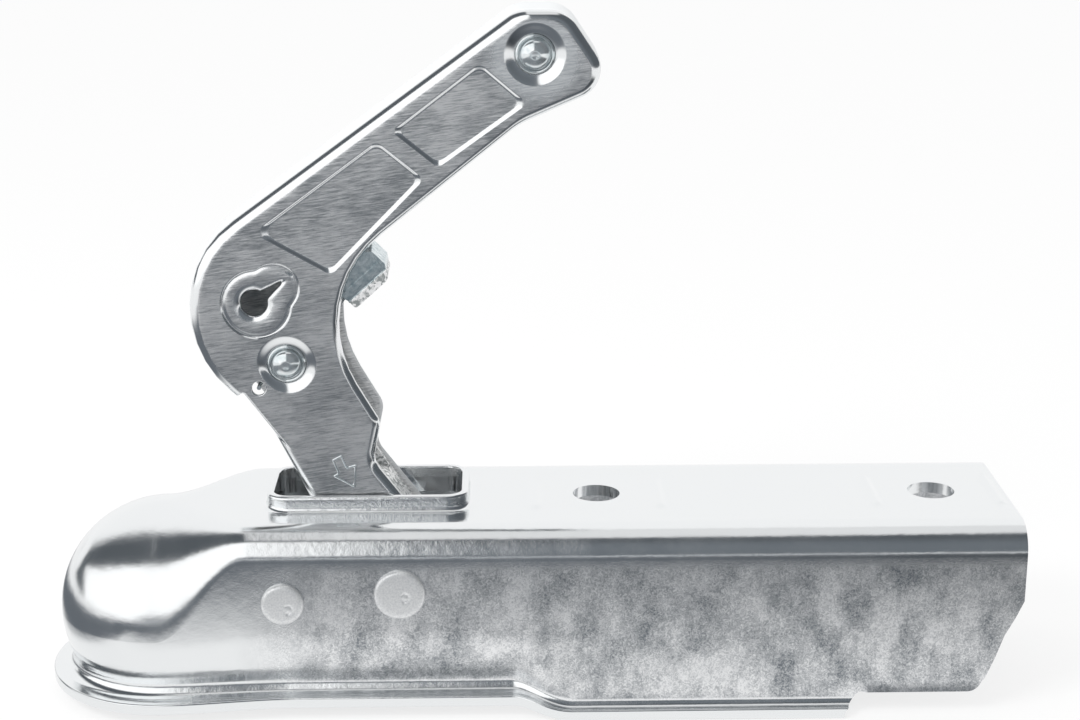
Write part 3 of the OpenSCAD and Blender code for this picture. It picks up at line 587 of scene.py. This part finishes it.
def window_line(g, steps=8):
    """The window's outline, g outside its edge."""
    x0, x1, half, r = WINDOW
    corners = [
        (x1 + g, -half - g, r + g), (x1 + g, half + g, r + g),
        (x0 - g, half + g, r + g), (x0 - g, -half - g, r + g),
    ]
    return rounded(corners, steps)


# The collar round the window: its wall, the fillet at its foot and its height over the roof.
COLLAR_T = 2.0
COLLAR_FILLET = 1.5
COLLAR_TOP = TOP_Z + 4.2
# How far it sinks into the roof, so that the two make one sheet.
COLLAR_SINK = 0.02


def collar():
    """The turned-up rim of the window, from its foot on the roof over its lip to the underside."""
    reach = COLLAR_T + COLLAR_FILLET
    turns = (0, 0.3, 0.6, 0.9, 1.2, math.pi / 2)
    foot = [
        (reach - COLLAR_FILLET * math.sin(a), TOP_Z + COLLAR_FILLET - COLLAR_FILLET * math.cos(a))
        for a in turns
    ]
    lip = arc(1.1, COLLAR_TOP - 0.9, 0.9, 0, 90, 5) + arc(0.65, COLLAR_TOP - 0.6, 0.6, 90, 180, 4)
    under = [(0.0, ROOF_Z - COLLAR_SINK), (1.5, ROOF_Z - COLLAR_SINK), (1.5, TOP_Z - 1)]
    outline = [(reach, TOP_Z - 1)] + foot + lip + under
    rows = [[(x, y, z) for x, y in window_line(g - COLLAR_SINK)] for g, z in outline]
    bm = bmesh.new()
    pull_all(bm, line_of(bm, rows[0], closed=True), rows[1:] + rows[:1])
    bmesh.ops.remove_doubles(bm, verts=bm.verts, dist=MERGE)
    return bm


def rear_trim():
    """All that lies behind the slanted rear edge, and below the wall behind the flange."""
    end, low, high = LENGTH, REAR_FOOT_Z - SHEET - 4, 50
    flange_end = [(FLANGE_END, REAR_FOOT_Z - SHEET - 1), (FLANGE_END, low)]
    wall = [(182.5, -15.5), (179, REAR_FOOT_Z - 1)] + flange_end
    around = [(end + 20, low), (end + 20, high), (end, high)]
    slant = [(end, 9.6), (end - 2, 5), (end - 4.6, 0), (end - 6.8, -6.6), (end - 9, -12)]
    corner = arc(end - 13.5, -11.5, 4, -20, -90, 6)
    return prism(wall + around + slant + corner, -60, 60)


def housing():
    openings = raise_face(bmesh.new(), [(x, y, ROOF_Z - 2) for x, y in window_line(0.3)], (0, 0, 8))
    for x in BOLTS:
        bmesh.ops.create_cone(
            openings, cap_ends=True, segments=64, radius1=BOLT_R, radius2=BOLT_R, depth=20,
            matrix=Matrix.Translation((x, 0, TOP_Z)),
        )
    steps = [("DIFFERENCE", openings), ("DIFFERENCE", rear_trim()), ("UNION", collar())]
    bm = cut(housing_shell(), *steps)
    obj = piece("pressed_housing", bm, "head", ZINC, ["housing"], smooth=38)
    weighted(obj)


# Handle: two pressed sides with rolled rims, joined by the web behind them.
HANDLE_CORNERS = [
    (79, -28.3, 9), (77.9, 13.6, 8), (56.2, 42.5, 6), (58.4, 53, 5), (39.2, 86.5, 31),
    (94.5, 130.8, 20), (118.6, 141.2, 7.5), (106.5, 159.4, 8.5), (93.6, 159.4, 9),
    (-7, 85.8, 29.3), (21.3, 60.4, 0.4), (22.9, 61.4, 0.4), (30.2, 51.4, 12), (52.3, 6.45, 13),
]
# The web joins the sides from the first to the second of these corners.
WEB_FROM, WEB_TO = 6, 10
UPPER_PANEL = [(64.2, 129.5, 2), (74.2, 121.4, 3), (95.2, 136.4, 2.5), (84.8, 145.2, 3)]
LOWER_PANEL = [(29.1, 103.9, 3), (46.6, 94, 3), (69.4, 117.4, 2.5), (59, 125.9, 3)]
# How far a panel's wall lies inside its outline, and how deep it is there.
PANEL_WALL = [(-1.0, 0), (-0.85, 0.04), (-0.6, 0.2), (-0.35, 0.42), (-0.1, 0.58), (0.2, 0.64)]
# The rolled rim: its radius, and each side's share of its width and of its depth.
BEND_R = 2.2
BEND_STEPS = 9
RIM_SHARES = [1.2, 1.2, 1.2, 0.85, 0.85, 1.1, 1.5, 1.2, 1.7, 1.2, 0.2, 0.5, 1.2, 1.2]
RIM_DEPTHS = [1.0, 1.0, 1.0, 1.0, 1.0, 1.1, 1.5, 1.4, 1.8, 1.0, 1.0, 1.0, 1.0, 1.0]
CORNER_STEPS = 10
# Dimples round the two pins, as radius and depth, and how much one narrows beside the spring's hole.
DIMPLE = [
    (7.9, 0), (7.7, 0.03), (7.45, 0.1), (7.2, 0.2), (6.9, 0.33), (6.6, 0.47), (6.25, 0.62),
    (5.9, 0.78), (5.5, 0.92), (5.2, 1.0), (5.05, 1.02),
]
DIMPLE_PINCH = 0.7
# Bores on the flat, as place and radius.
BORES = [(PIVOT_AT, 8.05), (TRUNNION_AT, 3.05)]
# The spring's hole has a rounded lip.
LEG_HOLE = [(2.1, 0), (1.96, 0.05), (1.84, 0.2), (1.78, 0.5)]
# The keyhole: a round hole with a spike, in a dish made of two lobes.
KEY_R = 3.4
KEY_HEADING = 37.6
KEY_WAY = (0.792, 0.61)
KEY_SPIKE = 8.6
DISH_LOBES = [(27.5, 85.3, 9.2), (32.2, 89.6, 6.6)]
DISH_MID = (29.3, 87.0)
# From the dish's outline (0) to the keyhole's edge (1), and the depth there.
DISH_PROFILE = [
    (0, 0), (0.02, 0.14), (0.05, 0.4), (0.09, 0.5), (0.14, 0.46), (0.2, 0.36), (0.28, 0.24), (0.38, 0.16),
    (0.48, 0.18), (0.58, 0.28), (0.68, 0.46), (0.78, 0.72), (0.86, 1.0), (0.93, 1.34), (1, 1.9),
]


def ray_reach(centre, angle, circles):
    """How far a ray from the centre runs before it leaves the last circle."""
    c, s = math.cos(angle), math.sin(angle)
    far = 0.0
    for x, z, r in circles:
        dx, dz = x - centre[0], z - centre[1]
        along = dx * c + dz * s
        off = r * r - (dx * s - dz * c) ** 2
        if off > 0:
            far = max(far, along + math.sqrt(off))
    return far


def key_angles():
    """Directions round the keyhole, closer together along its spike."""
    half = (0, 1.5, 3, 4.5, 6, 8, 11, 15, 20)
    near = [KEY_HEADING + t for t in [-t for t in half[:0:-1]] + [*half]]
    far = [KEY_HEADING + 20 + 320 * i / 64 for i in range(1, 64)]
    return [math.radians(a) for a in near + far]


def softened(reaches, passes):
    """Evens out a ring of distances, each with its two neighbours."""
    for _ in range(passes):
        before, after = reaches[-1:] + reaches[:-1], reaches[1:] + reaches[:1]
        reaches = [(a + 2 * b + c) / 4 for a, b, c in zip(before, reaches, after)]
    return reaches


def key_loops():
    """The dish's outline, a softened keyhole and the keyhole itself, point for point."""
    angles = key_angles()
    steps = [KEY_SPIKE * i / 20 for i in range(21)]
    spike = [
        (KEY_AT[0] + t * KEY_WAY[0], KEY_AT[1] + t * KEY_WAY[1], mix(1.8, 0.4, t / KEY_SPIKE))
        for t in steps
    ]
    hole = [ray_reach(KEY_AT, a, [(*KEY_AT, KEY_R), *spike]) for a in angles]
    dish = softened([ray_reach(DISH_MID, a, DISH_LOBES) for a in angles], 1)

    def place(centre, reaches):
        return [(centre[0] + q * math.cos(a), centre[1] + q * math.sin(a)) for q, a in zip(reaches, angles)]

    return place(DISH_MID, dish), place(KEY_AT, softened(hole, 12)), place(KEY_AT, hole)


def dish_rows():
    """Rows from the flat over the dish's ring into the keyhole."""
    loops = key_loops()
    rows = []
    for t, depth in DISH_PROFILE:
        k = ease(0.5, 1, t)
        points = [
            (mix(mix(a[0], b[0], t), c[0], k), mix(mix(a[1], b[1], t), c[1], k))
            for a, b, c in zip(*loops)
        ]
        rows.append((points, depth))
    return rows


def dimple_rows(at, pinch):
    """Rows of a round dimple, narrowed by the pinch towards the spring's hole."""
    hole_way = math.atan2(LEG_AT[1] - at[1], LEG_AT[0] - at[0])
    inner, outer = DIMPLE[-1][0], DIMPLE[0][0]
    turns = [math.tau * i / 64 for i in range(64)]
    rows = []
    for r, depth in DIMPLE:
        narrow = pinch * (r - inner) / (outer - inner)
        reaches = [r - narrow * max(0.0, math.cos(a - hole_way)) ** 4 for a in turns]
        points = [(at[0] + q * math.cos(a), at[1] + q * math.sin(a)) for q, a in zip(reaches, turns)]
        rows.append((points, depth))
    return rows


def side_points(s, points, depth):
    """Points on one side of the handle, pressed in by a depth."""
    return [(x, s * (HANDLE_HALF - depth), z) for x, z in points]


def press(bm, s, rows):
    """Draws a sheet in from its outline on the flat, and gives the outline's and the last edges."""
    rows = [side_points(s, *row) for row in rows]
    start = line_of(bm, rows[0], closed=True)
    return start[1], pull_all(bm, start, rows[1:])[1]


def rolled_rim(bm, s):
    """One side's rolled rim and its half of the web; gives the edges where the flat begins."""
    # Each bend's radius follows its side's share, and changes along the corner between two sides.
    radii = [
        BEND_R * mix(RIM_DEPTHS[i - 1], RIM_DEPTHS[i], k / CORNER_STEPS)
        for i in range(len(HANDLE_CORNERS)) for k in range(CORNER_STEPS + 1)
    ]
    rims = []
    for k in range(BEND_STEPS + 1):
        a = math.radians(90 / BEND_STEPS * k)
        corners = inset_corners(HANDLE_CORNERS, BEND_R * (1 - math.sin(a)), RIM_SHARES)
        line = rounded(corners, CORNER_STEPS)
        rims.append([(x, s * (HANDLE_HALF - r * (1 - math.cos(a))), z) for (x, z), r in zip(line, radii)])
    start = line_of(bm, rims[0], closed=True)
    bend = pull_all(bm, start, rims[1:])
    first, last = WEB_FROM * (CORNER_STEPS + 1), WEB_TO * (CORNER_STEPS + 1)
    verts = bend[0][first:last + 1]
    edges = [bm.edges.get(pair) for pair in zip(verts, verts[1:])]
    pull(bm, (verts, edges), [(v.co.x, 0, v.co.z) for v in verts])
    return start[1]


def handle_side(bm, s):
    """One side of the handle; s is -1 for the near one, which alone has the keyhole and spring's hole."""
    near = s < 0
    flat = list(rolled_rim(bm, s))
    for at in (GRIP_AT, CATCH_AT):
        pinch = DIMPLE_PINCH if at == CATCH_AT and near else 0.0
        flat += press(bm, s, dimple_rows(at, pinch))[0]
    for corners in (UPPER_PANEL, LOWER_PANEL):
        rows = [(rounded(inset_corners(corners, d), 6), depth) for d, depth in PANEL_WALL]
        outline, floor_edges = press(bm, s, rows)
        flat += outline
        bmesh.ops.contextual_create(bm, geom=floor_edges)
    if near:
        flat += press(bm, s, dish_rows())[0]
        flat += press(bm, s, [(circle(LEG_AT, r, 32), depth) for r, depth in LEG_HOLE])[0]
    for at, r in BORES:
        flat += press(bm, s, [(circle(at, r, 32), 0)])[0]
    bmesh.ops.triangle_fill(bm, use_beauty=True, edges=flat, normal=(0, s, 0))


def handle():
    bm = bmesh.new()
    handle_side(bm, -1)
    handle_side(bm, 1)
    bmesh.ops.remove_doubles(bm, verts=bm.verts, dist=MERGE)
    facing(bm, (0, -1, 0))
    obj = piece("pressed_handle", bm, "handle", LEVER, ["handle_shell"], smooth=42)
    m = obj.modifiers.new("sheet", "SOLIDIFY")
    m.thickness = HANDLE_T * MM
    m.offset = -1
    m.use_even_offset = False
    weighted(obj)


# Pointer stamped on the near side of the handle, tip first.
ARROW = [
    (51.2, 35.8, 0.3), (51.7, 41.7, 0.3), (49.3, 41.0, 0.3), (48.0, 44.3, 0.3),
    (45.9, 43.2, 0.3), (47.4, 39.4, 0.3), (46.1, 38.8, 0.3),
]
# The stamped line's cross-section: across it, and out of the face.
ARROW_RIDGE = [(-0.34, 0.02), (-0.24, -0.08), (-0.1, -0.14), (0.1, -0.14), (0.24, -0.08), (0.34, 0.02)]


def arrow_stamp():
    """A thin raised line round the arrow."""
    bm = bmesh.new()
    lines = [(rounded(inset_corners(ARROW, d), 2), rise) for d, rise in ARROW_RIDGE]
    rows = [[(x, rise - HANDLE_HALF, z) for x, z in line] for line, rise in lines]
    pull_all(bm, line_of(bm, rows[0], closed=True), rows[1:] + rows[:1])
    bmesh.ops.remove_doubles(bm, verts=bm.verts, dist=MERGE)
    facing(bm, (0, -1, 0))
    piece("arrow_stamp", bm, "handle", POLISHED)


# Catch: a folded sheet whose finger tab ends in a thick sheared web with a rib and a groove.
NOSE_Z = 26.1
CATCH_HALF = 6.6
CATCH_T = 2
CATCH_BORE_R = 5.05
CHEEK_IN = 0.35
RIB_OUT = 0.2
GROOVE_DEPTH = 0.8
CATCH_WEAR = 0.38
CATCH_CORNERS = [
    (62.2, NOSE_Z - 0.5, 1), (66, NOSE_Z + 1.4, 1), (60.6, 35, 3), (43, 62.5, 6), (41.2, 80, 4),
    (47.2, 88, 1), (51.2, 84.3, 0.5), (60.6, 92.8, 0.5), (60.2, 94.8, 0.6), (57, 98, 1),
    (48, 97.6, 4), (27.4, 73.6, 7), (28.6, 64, 7),
]
CATCH_WEB = [(52.5, 83.1, 0.8), (61.6, 91.3, 1.8), (59.7, 93.5, 0.5), (50.6, 85.3, 0.5)]
CATCH_RIB = [(49.9, 85.8), (59.3, 94.3), (58.4, 95.3), (49, 86.8)]
CATCH_GROOVE = [(50.6, 84.6), (60.4, 93.4), (59.9, 94), (50.1, 85.2)]
CATCH_POCKET = [
    (30, 38), (54, 38), (70, 33), (70, 60), (46, 78), (50.2, 86), (58.6, 93.6), (55.6, 96.4),
    (48, 120), (10, 100), (10, 50),
]


def catch_lever():
    half = CATCH_HALF
    cheeks = prism(rounded(CATCH_CORNERS, 8), CHEEK_IN - half, half - CHEEK_IN)
    web = prism(rounded(CATCH_WEB, 6), -half, half)
    rib = prism(CATCH_RIB, -half - RIB_OUT, half + RIB_OUT)
    taken = [
        prism(CATCH_POCKET, CATCH_T - half, half - CATCH_T),
        prism(circle(CATCH_AT, CATCH_BORE_R, 64), -HANDLE_HALF, HANDLE_HALF),
        prism(CATCH_GROOVE, -HANDLE_HALF, GROOVE_DEPTH - half),
        prism(CATCH_GROOVE, half - GROOVE_DEPTH, HANDLE_HALF),
    ]
    bm = cut(cheeks, ("UNION", web), ("UNION", rib), *[("DIFFERENCE", tool) for tool in taken])
    obj = piece("folded_catch", bm, "catch", SHEARED, ["catch_lever"], smooth=40)
    bevel = obj.modifiers.new("worn_edges", "BEVEL")
    bevel.width = CATCH_WEAR * MM
    bevel.segments = 3
    bevel.angle_limit = math.radians(40)
    weighted(obj)


# Pins and rivets.
SLEEVE_HALF = HANDLE_HALF - 1.0 + 0.3
PIN_R = 3.75
PIN_RISE = 2.0
# The pin's turned centre, and where its dome's points lie in radians from the axis.
PIN_CENTRE = [(0, -0.12), (0.45, -0.1), (0.85, -0.02), (1.1, 0.01), (1.35, -0.02)]
PIN_DOME = (0.45, 0.6, 0.75, 0.9, 1.05, 1.2, 1.35, 1.48)
# The sleeve's end, as radius and distance beyond the sleeve's half length.
SLEEVE_END = [
    (3.05, -0.5), (3.8, -0.3), (4.0, -0.28), (4.2, -0.05), (4.5, 0.04), (4.75, -0.06),
    (4.95, -0.3), (5.0, -0.5),
]


def domed_pin(name, at, node):
    cap = [(r, SLEEVE_HALF + PIN_RISE + rise) for r, rise in PIN_CENTRE]
    cap += [(PIN_R * math.sin(a), SLEEVE_HALF + 0.1 + PIN_RISE * math.cos(a)) for a in PIN_DOME]
    cap += [(PIN_R, SLEEVE_HALF + 0.02), (3.0, SLEEVE_HALF - 0.2)]
    piece(name, lathe(both_ends(cap), at), "handle", POLISHED, [node])


def sleeve(name, at, node):
    end = [(r, SLEEVE_HALF + rise) for r, rise in SLEEVE_END]
    bm = lathe(both_ends(end), at, closed=True)
    piece(name, bm, "handle", POLISHED, [node])


# The rivet's head: how far it stands off the wall, how much it is crowned, and its worn edge.
HEAD_RISE = 1.5
HEAD_CROWN = 0.12
HEAD_EDGE_R = 1.0
# The setting tool's mark: an open ring, by radius, width and depth.
MARK_R, MARK_W, MARK_DEPTH = 1.0, 0.35, 0.3


def tool_mark(u, w):
    """How deep the mark is at a point beside its middle; it fades out on the left."""
    ring = math.exp(-((math.hypot(u, w) - MARK_R) / MARK_W) ** 2)
    return MARK_DEPTH * ring * (1 if u > -0.2 else math.exp(-((u + 0.2) / 0.3) ** 2))


def cross_rivet(name, at, shank, head, node, dent):
    """Flat-headed rivet across the housing, each head with a worn edge and the setting tool's mark."""
    top = HALF_W + HEAD_RISE
    cap = [(r, top - HEAD_CROWN * (r / head) ** 2) for r in [head * i / 16 for i in range(13)]]
    cap += [
        (head - HEAD_EDGE_R + HEAD_EDGE_R * math.sin(a), top - 1.12 + HEAD_EDGE_R * math.cos(a))
        for a in (0.15, 0.45, 0.75, 1.05, 1.3, math.pi / 2)
    ]
    cap += [(head, HALF_W - 0.4), (shank, HALF_W - 0.4)]
    bm = lathe(both_ends(cap), at, steps=64)
    for v in bm.verts:
        if abs(v.co.y) > HALF_W + 0.6:
            mark = tool_mark(v.co.x - at[0] - dent[0], v.co.z - at[1] - dent[1])
            v.co.y -= math.copysign(mark, v.co.y)
    piece(name, bm, "head", FROSTED, [node])


housing()
handle()
arrow_stamp()
catch_lever()
domed_pin("grip_pin", GRIP_AT, "grip_rivet")
domed_pin("catch_pin", CATCH_AT, "catch_rivet")
sleeve("grip_bush", GRIP_AT, "grip_sleeve")
sleeve("catch_bush", CATCH_AT, "catch_sleeve")
cross_rivet("front_flat_rivet", JAW_AT, 4.0, 5.5, "front_cross_rivet", (1.4, -1.2))
cross_rivet("rear_flat_rivet", PIVOT_AT, 5.0, 6.6, "rear_cross_rivet", (1.2, -0.6))

# Pieces that keep the CAD's own shape.
for node, material in {
    "jaw_pivot_tube": TURNED, "handle_pivot_tube": TURNED,
    "left_jaw_spacer": TURNED, "right_jaw_spacer": TURNED,
    "left_handle_spacer": TURNED, "right_handle_spacer": TURNED,
    "latch_cam": TURNED, "catch_spring": POLISHED,
    "ball_jaw": CAST, "jaw_pin": POLISHED, "guide_rod": TURNED, "rod_washer": POLISHED,
    "pressure_spring": WIRE, "rod_clip": WIRE, "spring_trunnion": TURNED,
}.items():
    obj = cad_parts[node]
    obj.data.materials.clear()
    obj.data.materials.append(material)


# Studio: pale floor, white surround, soft light.
WHITE = (1.0, 1.0, 1.0, 1.0)
FLOOR_Z = -0.0221
FLOOR_HALF = 6.0


def floor_material():
    """A white sweep, which the metal mirrors as a lit strip with an unlit room round it."""
    m, tree, place = start_material("white_sweep")
    xyz = split(tree, place)
    rays = add(tree, "ShaderNodeLightPath").outputs
    # In reflections the floor falls off into the dark to the front, and to the left of the nose.
    front = ramp(tree, xyz["Y"], -0.055, -0.14, smooth=True)
    left = ramp(tree, xyz["X"], -0.048, -0.075, smooth=True)
    back = ramp(tree, xyz["Y"], 0.16, 0.08, smooth=True)
    unlit = compute(tree, "MAXIMUM", front, compute(tree, "MULTIPLY", left, back))
    # Far off to both sides it is lit again.
    for lit, dark in ((-0.36, -0.2), (0.6, 0.4)):
        between = ramp(tree, xyz["X"], lit, dark, smooth=True)
        unlit = compute(tree, "MULTIPLY", unlit, between)
    # The painted shade of the unlit floor darkens towards the right, and pales far off to the front.
    near = blend(tree, ramp(tree, xyz["X"], 0.1, 0.32), "#696e74", "#3f4347")
    far = ramp(tree, xyz["Y"], -0.2, -0.9, smooth=True)
    mirrored = blend(tree, unlit, "#fafafa", blend(tree, far, near, "#c4c7ca"))
    colour = blend(tree, rays["Is Glossy Ray"], WHITE, mirrored)
    glow = add(tree, "ShaderNodeEmission", {"Color": colour, "Strength": 1.0})
    paint = add(tree, "ShaderNodeBsdfDiffuse", {"Color": linear("#f2f2f2")})
    # To the camera it glows by 72 percent, and the rest is paint that takes the shadow.
    direct = compute(tree, "MULTIPLY", rays["Is Camera Ray"], 0.72)
    share = compute(tree, "MAXIMUM", direct, rays["Is Glossy Ray"])
    both = add(tree, "ShaderNodeMixShader", {0: share, 1: paint.outputs[0], 2: glow.outputs[0]})
    add(tree, "ShaderNodeOutputMaterial", {"Surface": both.outputs[0]})
    return m


def floor():
    bm = bmesh.new()
    level = Matrix.Translation((0, 0, FLOOR_Z))
    bmesh.ops.create_grid(bm, x_segments=1, y_segments=1, size=FLOOR_HALF, matrix=level)
    obj = linked("studio_floor", bm)
    obj.data.materials.append(floor_material())


# The softbox as the metal sees it: axes across and up its face, and its reach along them.
SOFTBOX = [
    ((0.728, -0.535, 0.429), -0.8, 0.7),
    ((-0.07, 0.565, 0.823), -0.5, 0.48),
    ((-0.682, -0.629, 0.374), 0.2, 1.1),
    ((1, 0, 0), -1.1, -0.03),
]
SOFTBOX_EDGE = 0.07
SOFTBOX_GLOW = (1.2, 1.2, 1.2, 1.0)


def surround():
    world = bpy.data.worlds.new("white_studio")
    bpy.context.scene.world = world
    world.use_nodes = True
    tree = world.node_tree
    tree.nodes.clear()
    way = add(tree, "ShaderNodeTexCoord").outputs["Generated"]
    xyz = split(tree, way)
    rays = add(tree, "ShaderNodeLightPath").outputs
    # What the metal mirrors is a grey room, which is lighter to the front.
    front = ramp(tree, xyz["Y"], -0.5, -0.9, smooth=True)
    room = blend(tree, front, "#555a5f", "#6c7278")
    # Behind and above stands a white backdrop, with a small lamp on its left.
    backdrop = ramp(tree, dot(tree, way, (0.0, 0.86, 0.51)), 0.56, 0.72, smooth=True)
    lamp = ramp(tree, dot(tree, way, (-0.74, 0.665, 0.1)), 0.984, 0.99)
    # The ceiling over the drawbar end is nearly white too.
    overhead = ramp(tree, xyz["Z"], 0.88, 0.94, smooth=True)
    over_drawbar = ramp(tree, xyz["X"], -0.145, -0.13, smooth=True)
    ceiling = compute(tree, "MULTIPLY", overhead, over_drawbar)
    ceiling = compute(tree, "MULTIPLY", ceiling, 0.8)
    white = compute(tree, "MAXIMUM", compute(tree, "MAXIMUM", backdrop, lamp), ceiling)
    room = blend(tree, white, room, WHITE)
    # A tilted softbox hangs front left.
    inside = 1.0
    for axis, low, high in SOFTBOX:
        along = dot(tree, way, axis)
        for edge, soft in ((low, SOFTBOX_EDGE), (high, -SOFTBOX_EDGE)):
            within = ramp(tree, along, edge, edge + soft, smooth=True)
            inside = compute(tree, "MULTIPLY", inside, within)
    room = blend(tree, inside, room, SOFTBOX_GLOW)
    seen = blend(tree, rays["Is Glossy Ray"], WHITE, room)
    back = add(tree, "ShaderNodeBackground", {"Color": seen, "Strength": 1.0})
    add(tree, "ShaderNodeOutputWorld", {"Surface": back.outputs[0]})


def softbox(name, place, target, size, power):
    """A lamp for the dull surfaces; the metal doesn't mirror it, but the surround's softbox."""
    light = bpy.data.lights.new(name, "AREA")
    light.shape = "RECTANGLE"
    light.size, light.size_y = size
    light.energy = power
    obj = bpy.data.objects.new(name, light)
    bpy.context.scene.collection.objects.link(obj)
    obj.location = place
    obj.rotation_euler = (Vector(target) - Vector(place)).to_track_quat("-Z", "Y").to_euler()
    obj.visible_glossy = False


# The photo's camera, solved from the straight roof edges and the two bolt holes.
CAMERA_AT = (0.08765, -0.50266, 0.21697)
CAMERA_DIP = 16.6
CAMERA_TURN = -1.4
CAMERA_LENS = 66.667
CAMERA_SENSOR = 36


def photo_camera():
    camera = bpy.data.objects.new("camera", bpy.data.cameras.new("camera"))
    bpy.context.scene.collection.objects.link(camera)
    camera.location = CAMERA_AT
    camera.rotation_euler = (math.radians(90 - CAMERA_DIP), 0, math.radians(CAMERA_TURN))
    camera.data.sensor_width = CAMERA_SENSOR
    camera.data.lens = CAMERA_LENS
    bpy.context.scene.camera = camera


floor()
surround()
softbox("key_softbox", (-0.35, -0.45, 0.6), (0.08, 0, 0.03), (0.35, 0.25), 3.0)
photo_camera()
bpy.context.scene.view_settings.view_transform = "Standard"
